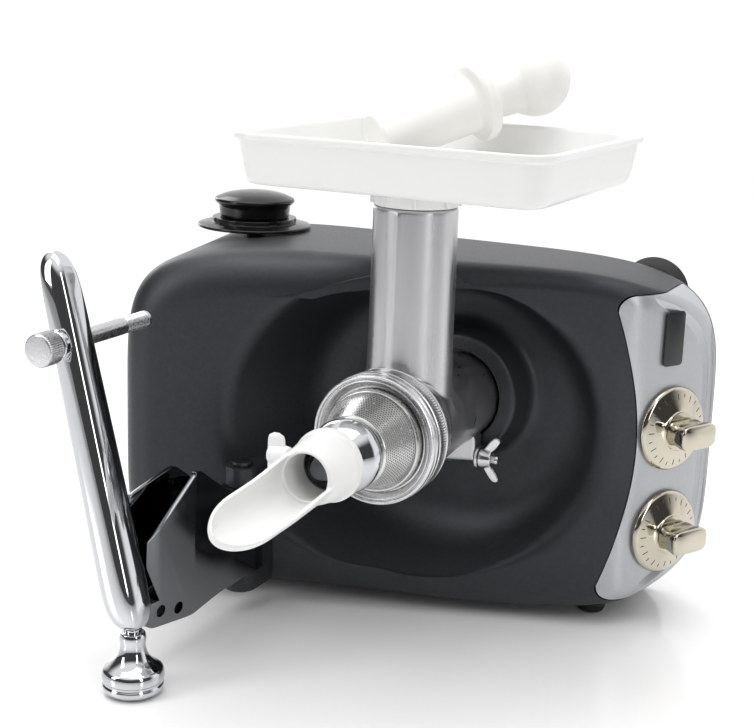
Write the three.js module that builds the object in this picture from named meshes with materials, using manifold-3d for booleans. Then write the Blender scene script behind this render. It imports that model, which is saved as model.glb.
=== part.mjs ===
// Electric meat grinder: a mixer motor unit standing on its long side, with a cast
// grinder barrel, feed tray, pusher, strainer cone and outlet chute, and the folding arm.
// Millimetres, +Z up, -Y towards the person using it, +X towards the control panel.
import * as THREE from 'three';
import Module from 'manifold-3d';
import { mergeVertices } from 'three/addons/utils/BufferGeometryUtils.js';

const wasm = await Module();
wasm.setup();

// ---- driving dimensions -------------------------------------------------------------
const GAP = 0.3;                 // clearance between touching pieces
const DRIVE_Z = 140;             // height of the drive and grinder axis
const BACK_Y = 75;               // rear edge of the housing
const CENTRE = { x: -41.94, y: -83.55 };   // middle of the plan, moved to the origin

const BODY = { left: -238, leftFront: -196, right: 143, bottom: 7, top: 225.5, wall: 3,
  midX: -40, midZ: 116, corner: 5, edge: 26 };
const FACE = { x: 110, y: 16, slope: 0.34, panelSlope: 1.8, panelBack: 70 };
const DISH = { x: -18, z: 121, rx: 111, rz: 98.5, floorX: -12, floorZ: 128, floorRx: 86,
  floorRz: 80, floorY: 22 };
const BOSS = { hole: 29, outer: 39, foot: 43, front: -3 };
const BASE = { thick: 5 };
const FOOT = { reach: 23, left: -196, right: 95, inset: 0.4 };
const PANEL = { arcX: 110.5, arcZ: 117, arcR: 250, low: 17, high: 212, corner: 10 };
const KNOB = { y: 43.5, upperZ: 127, lowerZ: 60, skirt: 26.5, shaft: 3.5, hole: 4.2,
  base: 0.7, hub: 8.6, grip: { long: 14.4, tall: 7.8, top: 25 } };
const BARREL = { rear: 27.5, front: 34, end: -113, bore: 25.5 };
const TUBE = { y: -74.5, r: 24.1, bore: 20.6, top: 266.5 };
const RING = { r: 38, back: -99, front: -121, lip: 30.4 };
const CONE = { wide: 28.4, narrow: 19, end: -146, wall: 1.2 };
const COLLAR = { end: -176, bore: 12.5, thread: 15.6 };
const SPOUT = { flange: 20, start: -171, mouth: -199, reach: -262 };
const TRAY = { w: 184, d: 174, x: 15, y: -72, low: 280, rim: 308, wall: 2.2, spigot: 20.2 };
const PUSHER = { near: [-33, -62, 299.4], ball: [33, 17, 334.5], rod: 16, collar: 24, knob: 22 };
const MOTOR = { y: 45, z: 92, r: 28, bore: 20, left: -214, right: -134, shaft: 4 };
const GEAR = { r: 38.6, root: 35.4, teeth: 36, near: 38, far: 52 };
const SPINDLE = { r: 10, front: 14, rear: 70, socket: 6.6 };
const LOCK = { x: -168, y: 34, flange: 38, collar: 28.4, neck: 23.3, cap: 27 };
const HINGE = { x: -109, y: -78, low: 16, high: 96, lug: 12, r: 10, pin: 4 };
const ARM = { footX: -102, footY: -205, low: 36, topX: -161, topY: -193, top: 240 };
const PIN = { z: 192, rear: -126, head: -226 };
const CLAMP = { y: -11, z: 105, lug: 20 };

// ---- materials ----------------------------------------------------------------------
const finish = (color, roughness, metalness) =>
  new THREE.MeshStandardMaterial({ color, roughness, metalness });
const MAT = {
  paint: finish(0x2d2f33, 0.5, 0.35),
  silver: finish(0xc6c7c9, 0.35, 0.7),
  chrome: finish(0xdadcde, 0.07, 1),
  nickel: finish(0xd6cdb8, 0.1, 1),
  cast: finish(0xb4b6b8, 0.32, 1),
  steel: finish(0xb9bbbd, 0.3, 1),
  white: finish(0xf3f3f1, 0.4, 0),
  black: finish(0x131313, 0.45, 0),
  rubber: finish(0x1b1b1b, 0.8, 0),
  copper: finish(0xb06a3a, 0.4, 0.8),
  nylon: finish(0xe2ddc8, 0.5, 0),
  board: finish(0x2c5a3a, 0.6, 0),
};

// ---- geometry helpers ---------------------------------------------------------------
const geometryOf = (positions, indices) => {
  const geometry = new THREE.BufferGeometry();
  geometry.setAttribute('position', new THREE.Float32BufferAttribute(positions, 3));
  geometry.setIndex(indices);
  return geometry;
};

const bare = (source) => {
  const geometry = source.clone();
  geometry.deleteAttribute('normal');
  geometry.deleteAttribute('uv');
  return mergeVertices(geometry, 1e-4);
};

// Turns the faces round where a closed surface would otherwise point inwards.
const outward = (source) => {
  const geometry = bare(source);
  const p = geometry.attributes.position;
  const index = Array.from(geometry.index.array);
  const [a, b, c] = [new THREE.Vector3(), new THREE.Vector3(), new THREE.Vector3()];
  let volume = 0;
  for (let i = 0; i < index.length; i += 3) {
    a.fromBufferAttribute(p, index[i]);
    b.fromBufferAttribute(p, index[i + 1]);
    c.fromBufferAttribute(p, index[i + 2]);
    volume += a.dot(b.cross(c));
  }
  if (volume < 0) index.reverse();
  geometry.setIndex(index);
  return geometry;
};

const solid = (source) => {
  const geometry = outward(source);
  return new wasm.Manifold(new wasm.Mesh({
    numProp: 3,
    vertProperties: new Float32Array(geometry.attributes.position.array),
    triVerts: new Uint32Array(geometry.index.array),
  }));
};

const shapeOf = (manifold) => {
  const mesh = manifold.getMesh();
  return geometryOf(Array.from(mesh.vertProperties), Array.from(mesh.triVerts));
};

// Surface through rows of points; `loop` joins the last row to the first, otherwise
// both end rows are closed by a fan.
const loft = (rows, loop = false) => {
  const n = rows[0].length;
  const positions = rows.flat(2);
  const index = [];
  const last = loop ? rows.length : rows.length - 1;
  for (let i = 0; i < last; i++) {
    const next = (i + 1) % rows.length;
    for (let j = 0; j < n; j++) {
      const k = (j + 1) % n;
      index.push(i * n + j, i * n + k, next * n + k);
      index.push(i * n + j, next * n + k, next * n + j);
    }
  }
  if (!loop) {
    for (const [row, turn] of [[0, 1], [rows.length - 1, 0]]) {
      const sum = rows[row].reduce((s, q) => s.map((v, a) => v + q[a] / n), [0, 0, 0]);
      positions.push(...sum);
      const middle = positions.length / 3 - 1;
      for (let j = 0; j < n; j++) {
        const pair = [row * n + j, row * n + (j + 1) % n];
        index.push(middle, ...(turn ? pair.reverse() : pair));
      }
    }
  }
  return outward(geometryOf(positions, index));
};

const lathe = (profile, segments = 18) =>
  outward(new THREE.LatheGeometry(profile.map(([r, y]) => new THREE.Vector2(r, y)), segments));
const rod = (r, from, to, segments = 12) =>
  lathe([[0, from], [r, from], [r, to], [0, to]], segments);
const ring = (inner, outer, from, to, segments = 16) =>
  lathe([[inner, from], [outer, from], [outer, to], [inner, to], [inner, from]], segments);
const block = (x0, x1, y0, y1, z0, z1) =>
  new THREE.BoxGeometry(x1 - x0, y1 - y0, z1 - z0)
    .translate((x0 + x1) / 2, (y0 + y1) / 2, (z0 + z1) / 2);
const prism = (points, depth) => {
  const shape = new THREE.Shape(points.map(([x, y]) => new THREE.Vector2(x, y)));
  return outward(new THREE.ExtrudeGeometry(shape, { depth, bevelEnabled: false }));
};
const power = (v, n) => Math.sign(v) * Math.abs(v) ** (2 / n);
const angles = (n) => Array.from({ length: n }, (_, i) => (2 * Math.PI * i) / n);
const mix = (a, b, t) => a + (b - a) * t;
// Turns a shape made along -Y to stand along +Z, and one made along +Y to lie along +X.
const alongZ = (geometry) => geometry.rotateX(-Math.PI / 2);
const alongX = (geometry) => geometry.rotateZ(-Math.PI / 2);

const assembly = new THREE.Group();
const add = (name, geometry, material, position = [0, 0, 0], turn = null) => {
  const mesh = new THREE.Mesh(outward(geometry), material);
  mesh.name = name;
  mesh.position.set(...position);
  if (turn) mesh.quaternion.copy(turn);
  assembly.add(mesh);
};

// ---- housing and panel ----------------------------------------------------------------
const faceY = (x) => Math.min(x < FACE.x ? FACE.y + FACE.slope * (x - FACE.x)
  : FACE.y + FACE.panelSlope * (x - FACE.x), FACE.panelBack);

const outline = (t, y, inset = 0) => {
  const forward = (BACK_Y - y) / (BACK_Y - faceY(BODY.leftFront));
  const left = mix(BODY.left, BODY.leftFront, Math.min(forward, 1));
  const reach = Math.cos(t) < 0 ? BODY.midX - left : BODY.right - BODY.midX;
  const half = (BODY.top - BODY.bottom) / 2 - inset;
  return [BODY.midX + (reach - inset) * power(Math.cos(t), BODY.corner),
    BODY.midZ + half * power(Math.sin(t), BODY.corner)];
};

const oval = (t, x, z, rx, rz) => [x + rx * Math.cos(t), z + rz * Math.sin(t)];

// One radial section of the housing wall, from the drive hole over the dish and rim,
// round the edge to the back, and returning along the inside.
const wallSection = (t) => {
  const rim = oval(t, DISH.x, DISH.z, DISH.rx, DISH.rz);
  const flat = outline(t, 0);
  const room = Math.hypot(flat[0] - rim[0], flat[1] - rim[1]);
  const edge = Math.min(mix(BODY.edge, 9, Math.max(Math.cos(t), 0) ** 0.5), 0.8 * room);
  const at = ([x, z], y) => [x, y, z];
  const face = (p) => at(p, faceY(p[0]));
  const shoulder = outline(t, faceY(flat[0]), edge);
  const middle = [mix(rim[0], shoulder[0], 0.4), mix(rim[1], shoulder[1], 0.4)];
  const front = faceY(shoulder[0]);
  const round = [30, 60, 90].map((a) => {
    const turn = (a * Math.PI) / 180;
    const inset = edge * (1 - Math.sin(turn));
    const y = Math.min(faceY(outline(t, front, inset)[0]) + edge * (1 - Math.cos(turn)), BACK_Y - 2);
    return at(outline(t, y, inset), y);
  });
  const inner = front + edge + 1;
  return [
    at(oval(t, 0, DRIVE_Z, BOSS.hole, BOSS.hole), BOSS.front),
    at(oval(t, 0, DRIVE_Z, BOSS.outer, BOSS.outer), BOSS.front),
    at(oval(t, 0, DRIVE_Z, BOSS.foot, BOSS.foot), DISH.floorY),
    at(oval(t, DISH.floorX, DISH.floorZ, DISH.floorRx, DISH.floorRz), DISH.floorY),
    face(rim), face(middle), face(shoulder), ...round,
    at(outline(t, BACK_Y), BACK_Y),
    at(outline(t, BACK_Y, BODY.wall), BACK_Y),
    at(outline(t, inner, BODY.wall), Math.min(inner, BACK_Y - 2)),
    at(oval(t, DISH.x, DISH.z, DISH.rx + 2.5, DISH.rz + 2.5), faceY(rim[0]) + 6),
    at(oval(t, DISH.floorX, DISH.floorZ, DISH.floorRx + 3, DISH.floorRz + 3),
      DISH.floorY + BODY.wall),
    at(oval(t, 0, DRIVE_Z, BOSS.hole, BOSS.hole), DISH.floorY + BODY.wall),
  ];
};

const wall = () => {
  const sections = angles(48).map(wallSection);
  return solid(loft(sections, true));
};

// Everything to the right of the curved seam, between the top and bottom borders.
const panelZone = (shrink) => {
  const low = PANEL.low + shrink;
  const high = PANEL.high - shrink;
  const seam = (z) => PANEL.arcX + shrink - (z - PANEL.arcZ) ** 2 / (2 * PANEL.arcR);
  const c = PANEL.corner;
  const points = [[200, low], [200, high]];
  for (const a of [0, 30, 60, 90]) {
    const turn = (a * Math.PI) / 180;
    points.push([seam(high - c) + c * (1 - Math.sin(turn)), high - c * (1 - Math.cos(turn))]);
  }
  for (let z = high - c - 18; z > low + c + 10; z -= 18) points.push([seam(z), z]);
  for (const a of [90, 60, 30, 0]) {
    const turn = (a * Math.PI) / 180;
    points.push([seam(low + c) + c * (1 - Math.sin(turn)), low + c * (1 - Math.cos(turn))]);
  }
  return solid(prism(points, 300).rotateX(Math.PI / 2).translate(0, 150, 0));
};

const panelTurn = new THREE.Quaternion().setFromUnitVectors(new THREE.Vector3(0, 1, 0),
  new THREE.Vector3(FACE.panelSlope, -1, 0).normalize());
const onPanel = (y, z) => [FACE.x + (y - FACE.y) / FACE.panelSlope, y, z];
const knobPlaces = { speed: onPanel(KNOB.y, KNOB.upperZ), timer: onPanel(KNOB.y, KNOB.lowerZ) };
const moved = (geometry, position, turn) =>
  geometry.applyMatrix4(new THREE.Matrix4().compose(
    new THREE.Vector3(...position), turn, new THREE.Vector3(1, 1, 1)));

const makeHousing = () => {
  const shell = wall();
  let housing = shell.subtract(panelZone(0));
  const lockHole = alongZ(rod(6.5, -30, 30)).translate(LOCK.x, LOCK.y, BODY.top);
  housing = housing.subtract(solid(lockHole));
  add('upper_housing', shapeOf(housing), MAT.paint);
  let panel = shell.intersect(panelZone(GAP));
  for (const place of Object.values(knobPlaces)) {
    panel = panel.subtract(solid(moved(rod(KNOB.hole, -40, 20, 12), place, panelTurn)));
  }
  add('control_panel', shapeOf(panel), MAT.silver);
};

const makeBadge = () => {
  const plate = block(-8, 8, 0, 1.4, -17, 17);
  const place = onPanel(40, 184);
  add('badge_plate', moved(plate.translate(0, GAP + 0.4, 0), place, panelTurn), MAT.black);
};

const screwPlaces = [[-205, 60], [-205, 172], [118, 60], [118, 172]];
const makeBase = () => {
  const rows = [BACK_Y + GAP, BACK_Y + GAP + BASE.thick].map((y) =>
    angles(36).map((t) => {
      const [x, z] = outline(t, BACK_Y, FOOT.inset);
      return [x, y, z];
    }));
  let plate = solid(loft(rows));
  for (const [x, z] of screwPlaces) {
    plate = plate.subtract(solid(rod(2.6, 60, 100, 16).translate(x, 0, z)));
  }
  add('base_plate', shapeOf(plate), MAT.black);
  const out = BACK_Y + GAP + BASE.thick;
  screwPlaces.forEach(([x, z], i) => {
    const screw = lathe([[0, out - 16], [2.2, out - 16], [2.2, out + GAP], [4.4, out + GAP],
      [4, out + 2.4], [0, out + 2.6]], 10);
    add(`base_screw_${i + 1}`, screw, MAT.steel, [x, 0, z]);
  });
  const feet = [[FOOT.left, FOOT.reach], [FOOT.right, FOOT.reach],
    [FOOT.left, 224 - FOOT.reach], [FOOT.right, 224 - FOOT.reach]];
  feet.forEach(([x, z], i) => {
    const foot = lathe([[0, out + GAP], [9, out + GAP], [11, out + 4], [18, out + 7],
      [FOOT.reach, out + 14], [FOOT.reach - 1.5, out + 14.6], [14, out + 9], [0, out + 8]]);
    add(`suction_foot_${i + 1}`, foot, MAT.rubber, [x, 0, z]);
  });
  const pad = (x, y, name) => {
    const top = BODY.bottom - GAP;
    add(name, alongZ(lathe([[0, 0], [9, 0], [10, -1], [8, -top], [0, -top]], 14)),
      MAT.rubber, [x, y, 0]);
  };
  pad(-120, 20, 'rest_pad_left');
  pad(84, 40, 'rest_pad_right');
};

const makeInlet = () => {
  const inlet = block(-14, 14, -9, 9, -6, 6);
  const socket = block(-11, 11, -6, 6, -3, 7);
  const shape = shapeOf(solid(inlet).subtract(solid(socket)));
  add('power_inlet', shape.rotateX(-Math.PI / 2), MAT.black,
    [-40, BACK_Y + GAP + BASE.thick + GAP + 6, 40]);
};

// ---- controls ---------------------------------------------------------------------------
const makeControls = () => {
  for (const [name, place] of Object.entries(knobPlaces)) {
    const { base, hub, grip } = KNOB;
    const skirt = lathe([[4.6, base], [KNOB.skirt, base], [KNOB.skirt, base + 1.6],
      [25, base + 3], [13, hub - 1], [9, hub], [4.6, hub], [4.6, base]], 26);
    add(`${name}_skirt`, skirt, MAT.nickel, place, panelTurn);
    const neck = lathe([[0, -24], [KNOB.shaft, -24], [KNOB.shaft, hub + 0.4], [7, hub + 0.4],
      [7, hub + 3], [0, hub + 3]], 14);
    const bar = block(-grip.long, grip.long, hub + 1.2, grip.top, -grip.tall, grip.tall);
    const knob = solid(neck).add(solid(bar));
    add(`${name}_knob`, shapeOf(knob), MAT.nickel, place, panelTurn);
    const body = ring(KNOB.shaft + 0.5, 12, -22, -10, 14);
    add(`${name}_switch`, body, MAT.black, place, panelTurn);
  }
  add('control_board', block(-30, 30, 68, 70, 150, 200), MAT.board, [40, 0, 0]);
};

// ---- motor and drive ----------------------------------------------------------------------
const makeMotor = () => {
  const { y, z, r, bore, left, right, shaft } = MOTOR;
  add('motor_stator', alongX(ring(bore, r, left, right, 20)), MAT.copper, [0, y, z]);
  const worm = [];
  for (let x = -18; x < 18; x += 6) worm.push([6, x], [8.6, x + 1.5], [8.6, x + 3.6], [6, x + 5]);
  const profile = [[0, left - 6], [shaft, left - 6], [shaft, left + 8], [bore - 1, left + 8],
    [bore - 1, right - 8], [shaft, right - 8], [shaft, -20], ...worm, [shaft, 20],
    [shaft, 30], [0, 30]];
  add('motor_rotor', alongX(lathe(profile, 12)), MAT.steel, [0, y, z]);
};

const gearOutline = () => {
  const points = [];
  for (let i = 0; i < GEAR.teeth; i++) {
    for (const [step, r] of [[0, GEAR.root], [0.3, GEAR.r], [0.6, GEAR.r], [0.9, GEAR.root]]) {
      const a = (2 * Math.PI * (i + step)) / GEAR.teeth;
      points.push([r * Math.cos(a), r * Math.sin(a)]);
    }
  }
  return points;
};

const makeDrive = () => {
  const gear = solid(prism(gearOutline(), GEAR.far - GEAR.near).rotateX(Math.PI / 2)
    .translate(0, GEAR.far, 0)).subtract(solid(rod(SPINDLE.r + GAP, 0, 90, 24)));
  add('drive_gear', shapeOf(gear), MAT.nylon, [0, 0, DRIVE_Z]);
  const { r, front, rear, socket } = SPINDLE;
  add('drive_spindle', lathe([[0, rear], [r, rear], [r, front], [socket, front], [socket, 28],
    [0, 28]]), MAT.steel, [0, 0, DRIVE_Z]);
  const frame = [[28, 62], [28, 190], [68, 190], [68, 62], [63, 62], [63, 185], [33, 185],
    [33, 62]];
  const turned = prism(frame, 90).rotateX(Math.PI / 2).rotateZ(Math.PI / 2);
  let casting = solid(turned.translate(-45, 0, 0));
  casting = casting.subtract(solid(rod(15, 0, 90, 32).translate(0, 0, DRIVE_Z)));
  add('gear_frame', shapeOf(casting), MAT.cast);
  add('spindle_bearing_front', ring(r + GAP, 14.6, 28.2, 32.8), MAT.steel, [0, 0, DRIVE_Z]);
  add('spindle_bearing_rear', ring(r + GAP, 14.6, 63.2, 67.8), MAT.steel, [0, 0, DRIVE_Z]);
};

// ---- grinder ------------------------------------------------------------------------------
const makeBarrel = () => {
  const { rear, front, end, bore } = BARREL;
  const outer = solid(lathe([[0, 20], [24, 20], [24, 1.5], [rear, 1.5], [rear, -5],
    [28.5, -40], [31.5, -84], [front, -91], [front, end], [0, end]], 28));
  const inner = solid(lathe([[0, end - 1], [27.5, end - 1], [27.5, -100], [bore, -96],
    [bore - 2, -8], [8, -6.5], [8, 0], [13.5, 1], [13.5, 21], [0, 21]], 24));
  const tube = alongZ(rod(TUBE.r, -TUBE.top, -DRIVE_Z, 28)).translate(0, TUBE.y, 0);
  const throat = alongZ(rod(TUBE.bore, -TUBE.top - 1, -DRIVE_Z, 24)).translate(0, TUBE.y, 0);
  const lug = block(-8, CLAMP.lug, CLAMP.y - 6, CLAMP.y + 6, CLAMP.z - 6, DRIVE_Z - 18);
  const hole = alongX(rod(3.4, -30, 30, 10)).translate(0, CLAMP.y, CLAMP.z);
  const casting = outer.translate(0, 0, DRIVE_Z).add(solid(tube)).add(solid(lug))
    .subtract(inner.translate(0, 0, DRIVE_Z)).subtract(solid(throat)).subtract(solid(hole));
  add('grinder_barrel', shapeOf(casting), MAT.cast);
  add('auger_bushing', ring(6.3, 7.7, -6.2, -0.4, 14), MAT.nylon, [0, 0, DRIVE_Z]);
};

const makeAuger = () => {
  const core = solid(lathe([[0, 27], [6, 27], [6, -7.5], [14, -8], [13, -100], [9, -112],
    [9, -140], [0, -140]], 16));
  const turns = 3.5;
  const steps = 32;
  const pitch = 26;
  const rows = Array.from({ length: steps + 1 }, (_, i) => {
    const a = (2 * Math.PI * turns * i) / steps;
    const y = -12 - (pitch * turns * i) / steps;
    const reach = 22.6;
    const at = (r, dy) => [r * Math.cos(a), y + dy, r * Math.sin(a)];
    return [at(8, -2.6), at(reach, -1), at(reach, 1), at(8, 2.6)];
  });
  add('auger', shapeOf(core.add(solid(loft(rows)))), MAT.steel, [0, 0, DRIVE_Z]);
};

const makeClamp = () => {
  const { y, z, lug } = CLAMP;
  add('clamp_bolt', alongX(lathe([[0, -14], [6, -14], [6, -8.4], [3, -8.4], [3, lug + 14],
    [0, lug + 14]], 10)), MAT.steel, [0, y, z]);
  add('clamp_washer', alongX(ring(3.4, 7.5, lug + 0.4, lug + 2.2, 14)), MAT.steel, [0, y, z]);
  const seat = lug + 2.6;
  const hub = solid(alongX(lathe([[0, seat], [6, seat], [4.6, seat + 7.4], [0, seat + 7.4]], 12)));
  const wing = (side) => solid(prism([[seat + 1.4, side * 3], [seat + 5.4, side * 3],
    [seat + 12.4, side * 12], [seat + 10.8, side * 14.2], [seat + 6.8, side * 12]], 3)
    .translate(0, 0, -1.5).rotateX(Math.PI / 2));
  const nut = hub.add(wing(1)).add(wing(-1)).subtract(solid(alongX(rod(3.3, 10, 50, 10))));
  add('wing_nut', shapeOf(nut), MAT.steel, [0, y, z]);
};

const makeOutlet = () => {
  const { r, back, front, lip } = RING;
  const at = [0, 0, DRIVE_Z];
  add('ring_nut', lathe([[BARREL.front + GAP, back], [r - 1, back], [r, back - 1.5],
    [r, front + 1.5], [r - 1, front], [lip, front], [lip, front + 3.4],
    [BARREL.front + GAP, front + 3.4], [BARREL.front + GAP, back]], 32), MAT.cast, at);
  const seat = front + 3.8;
  const w = CONE.wall;
  add('sieve_cone', lathe([[BARREL.front - 0.4, seat], [BARREL.front - 0.4, BARREL.end - GAP],
    [CONE.wide - 1.4, BARREL.end - GAP], [CONE.narrow - w, CONE.end], [CONE.narrow, CONE.end],
    [CONE.wide, front - 1], [lip - 0.6, front - 0.4], [lip - 0.6, seat],
    [BARREL.front - 0.4, seat]], 26), MAT.steel, at);
  const start = CONE.end - GAP;
  const collar = solid(lathe([[COLLAR.bore, start], [18, start], [20.6, start - 4],
    [20.6, start - 12], [17, start - 17], [COLLAR.thread, start - 18],
    [COLLAR.thread, COLLAR.end], [COLLAR.bore, COLLAR.end], [COLLAR.bore, start]], 22));
  const lug = solid(block(-4, 4, start - 13, start - 5, -26, -18).rotateY(-0.7));
  add('outlet_collar', shapeOf(collar.add(lug)), MAT.chrome, at);
};

// A chute: a round sleeve on the collar, cut away above and drawn out to a rounded tip.
const makeSpout = () => {
  const { flange, start, mouth, reach } = SPOUT;
  const sleeve = solid(lathe([[COLLAR.thread + 0.4, start], [flange, start], [flange, start - 4],
    [17.6, start - 6], [16.4, mouth], [12.2, mouth], [12.2, COLLAR.end - 1],
    [COLLAR.thread + 0.4, COLLAR.end - 1], [COLLAR.thread + 0.4, start]], 22));
  const length = mouth - reach;
  const steps = 9;
  const trough = (grow, over) => solid(loft(Array.from({ length: steps }, (_, i) => {
    const s = i / (steps - 1);
    const half = 15.4 * Math.sqrt(1 - Math.max((s - 0.72) / 0.29, 0) ** 2) - grow;
    const y = mouth + 2 + over / 2 - (length + 2) * s;
    const low = mix(-16.2, -8, s) * (half / 15.4) ** 0.6 + grow;
    const lift = mix(4, 1, s);
    const at = (u, z) => [-14 * s + u * half, y, z - 16 * s];
    const under = [1, 0.75, 0.4, 0, -0.4, -0.75, -1].map((u) =>
      at(u, low + (lift - low) * (1 - Math.sqrt(Math.max(1 - u * u, 0)))));
    return over ? [...under, at(-1, lift + over), at(1, lift + over)] : under;
  })));
  const chute = trough(0, 0).subtract(trough(2.2, 12));
  const hole = solid(lathe([[0, mouth + 40], [12.6, mouth + 40], [12.6, mouth - 1],
    [0, mouth - 1]], 18));
  const screwHole = solid(alongX(rod(2.6, -30, 0, 10)).translate(0, start - 12, 4));
  add('outlet_spout', shapeOf(sleeve.add(chute).subtract(hole).subtract(screwHole)), MAT.white,
    [0, 0, DRIVE_Z]);
  const hub = solid(alongX(lathe([[0, -30], [5, -30], [6, -24], [5, -18.4], [2.2, -18.4],
    [2.2, -13.4], [0, -13.4]], 12)));
  const wing = solid(block(-30, -21, -1.6, 1.6, -12, 12));
  add('spout_wing_screw', shapeOf(hub.add(wing)), MAT.white, [0, start - 12, DRIVE_Z + 4]);
};

// ---- tray and pusher --------------------------------------------------------------------
const rounded = (w, d, corner, z, x = 0, y = 0) => {
  const row = [];
  for (let q = 0; q < 4; q++) {
    const sx = q === 0 || q === 3 ? 1 : -1;
    const sy = q < 2 ? 1 : -1;
    for (let i = 0; i <= 4; i++) {
      const a = (Math.PI / 2) * (q + i / 4);
      row.push([x + sx * (w / 2 - corner) + corner * Math.cos(a),
        y + sy * (d / 2 - corner) + corner * Math.sin(a), z]);
    }
  }
  return row;
};

const makeTray = () => {
  const { w, d, x, y, low, rim, wall: thick, spigot } = TRAY;
  const row = (grow, corner, z) => rounded(w + grow, d + grow, corner, z, x, y);
  const outer = solid(loft([row(-18, 12, low), row(-10, 16, low + 2), row(-5, 16, rim - 4),
    row(0, 18, rim - 3.6), row(0, 18, rim)]));
  const cut = solid(loft([row(-20, 10, low + 2.6), row(-10 - thick, 14, low + 5),
    row(-5 - 2 * thick, 14, rim + 1)]));
  const neck = (r0, r1, z0, z1) =>
    solid(alongZ(ring(r0, r1, -z1, -z0, 24)).translate(0, TUBE.y, 0));
  const hole = solid(alongZ(rod(spigot - 2, -rim, -200, 24)).translate(0, TUBE.y, 0));
  const tray = outer.subtract(cut).add(neck(spigot - 2.2, TUBE.r, TUBE.top + GAP, low + 1))
    .add(neck(spigot - 2.2, spigot, TUBE.top - 24, low + 1)).subtract(hole);
  add('hopper_tray', shapeOf(tray), MAT.white);
};

const makePusher = () => {
  const near = new THREE.Vector3(...PUSHER.near);
  const ball = new THREE.Vector3(...PUSHER.ball);
  const length = near.distanceTo(ball);
  const { rod: r, collar, knob } = PUSHER;
  const profile = [[0, 0], [r - 2, 0], [r, 2], [r + 0.6, length * 0.58],
    [collar - 1, length * 0.6], [collar, length * 0.63], [collar - 1, length * 0.67],
    [14, length * 0.7]];
  for (let a = -40; a <= 80; a += 24) {
    const turn = (a * Math.PI) / 180;
    profile.push([knob * Math.cos(turn), length + knob * Math.sin(turn)]);
  }
  profile.push([0, length + knob]);
  const turn = new THREE.Quaternion().setFromUnitVectors(new THREE.Vector3(0, 1, 0),
    ball.clone().sub(near).normalize());
  add('pusher', lathe(profile, 20), MAT.white, PUSHER.near, turn);
};

// ---- arm ----------------------------------------------------------------------------------
const leverBody = (grow = 0) => {
  const steps = 9;
  const rows = Array.from({ length: steps + 1 }, (_, i) => {
    const s = i / steps;
    const cap = Math.sqrt(Math.max(1 - ((s - 0.5) / 0.515) ** 10, 0));
    const w = mix(12, 9.6, s) * cap;
    const d = mix(13, 10, s) * cap;
    const [x, y] = [mix(ARM.footX, ARM.topX, s), mix(ARM.footY, ARM.topY, s)];
    return angles(16).map((a) => [x + (w + grow) * power(Math.cos(a), 3),
      y + (d + grow) * power(Math.sin(a), 3), mix(ARM.low, ARM.top, s)]);
  });
  return solid(loft(rows));
};

const makeArm = () => {
  const { x, y, low, high, lug, r, pin } = HINGE;
  const seat = (u) => faceY(u) - 0.5;
  const lugs = [low, high - lug].map((z) => {
    const web = block(x - r, x + r, y, seat(x - r) - 1, z, z + lug);
    return solid(alongZ(rod(r, -z - lug, -z, 16)).translate(x, y, 0)).add(solid(web));
  });
  const foot = [[x - r, seat(x - r) - 5], [x + r, seat(x - r) - 5], [x + r, seat(x + r)],
    [x - r, seat(x - r)]];
  const plate = solid(prism(foot, high - low).translate(0, 0, low));
  const post = lugs[0].add(lugs[1]).add(plate)
    .subtract(solid(alongZ(rod(pin + GAP, -high - 9, -low + 9, 12)).translate(x, y, 0)));
  add('arm_hinge_post', shapeOf(post), MAT.paint);
  add('arm_hinge_pin', alongZ(lathe([[0, -high - 3], [6.5, -high - 3], [6.5, -high - GAP],
    [pin, -high - GAP], [pin, -low], [0, -low]], 12)), MAT.steel, [x, y, 0]);

  const z0 = low + lug + GAP;
  const z1 = high - lug - GAP;
  const side = [[y, z0], [y, z1], [-92, z1], [-108, 89], [-142, 112], [-186, 106], [-192, 98],
    [-192, 34], [-184, 28], [-150, 25], [-120, z0]];
  const near = x + 10;
  const slab = (points, from, to) => solid(prism(points.map(([u, v]) => [-u, v]), to - from)
    .rotateX(Math.PI / 2).rotateZ(-Math.PI / 2).translate(to, 0, 0));
  const knuckle = solid(alongZ(rod(r, -z1, -z0, 16)).translate(x, y, 0));
  // The two side plates meet behind; the near one has a falling top edge.
  const fall = [[-146, 109.6], [-183, 88], [-200, 78], [-200, 130], [-146, 130]];
  const pocket = [[-126, 96], [-140, 50], [-176, 44], [-200, 44], [-200, 130], [-126, 130]];
  let bracket = slab(side, x - 10, near).add(knuckle)
    .subtract(slab(fall, x - 7, near + 5)).subtract(slab(pocket, x - 7, near - 3));
  // The screw tab turns back from the near plate along a slanted crease.
  const crease = (s) => {
    const [u, v] = [mix(-150, -183, s), mix(27, 88, s)];
    return [[near, u, v], [near + 6, u, v], [near + 6, u - 60, v], [near - 9, u - 60, v]];
  };
  bracket = bracket.subtract(solid(loft([crease(-0.4), crease(1.4)])));
  bracket = bracket.subtract(solid(alongZ(rod(pin + GAP, -high, -low, 12)).translate(x, y, 0)));
  const screws = [[-177, 37], [-162, 34]];
  for (const [u, v] of screws) {
    bracket = bracket.subtract(solid(alongX(rod(3.6, 3, 12, 10)).translate(x, u, v)));
  }
  bracket = bracket.subtract(leverBody(GAP));
  add('arm_bracket', shapeOf(bracket), MAT.chrome);
  screws.forEach(([u, v], i) => {
    add(`bracket_screw_${i + 1}`, alongX(rod(3.3, 3.4, 5, 10)), MAT.black, [x, u, v]);
  });
};

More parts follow.
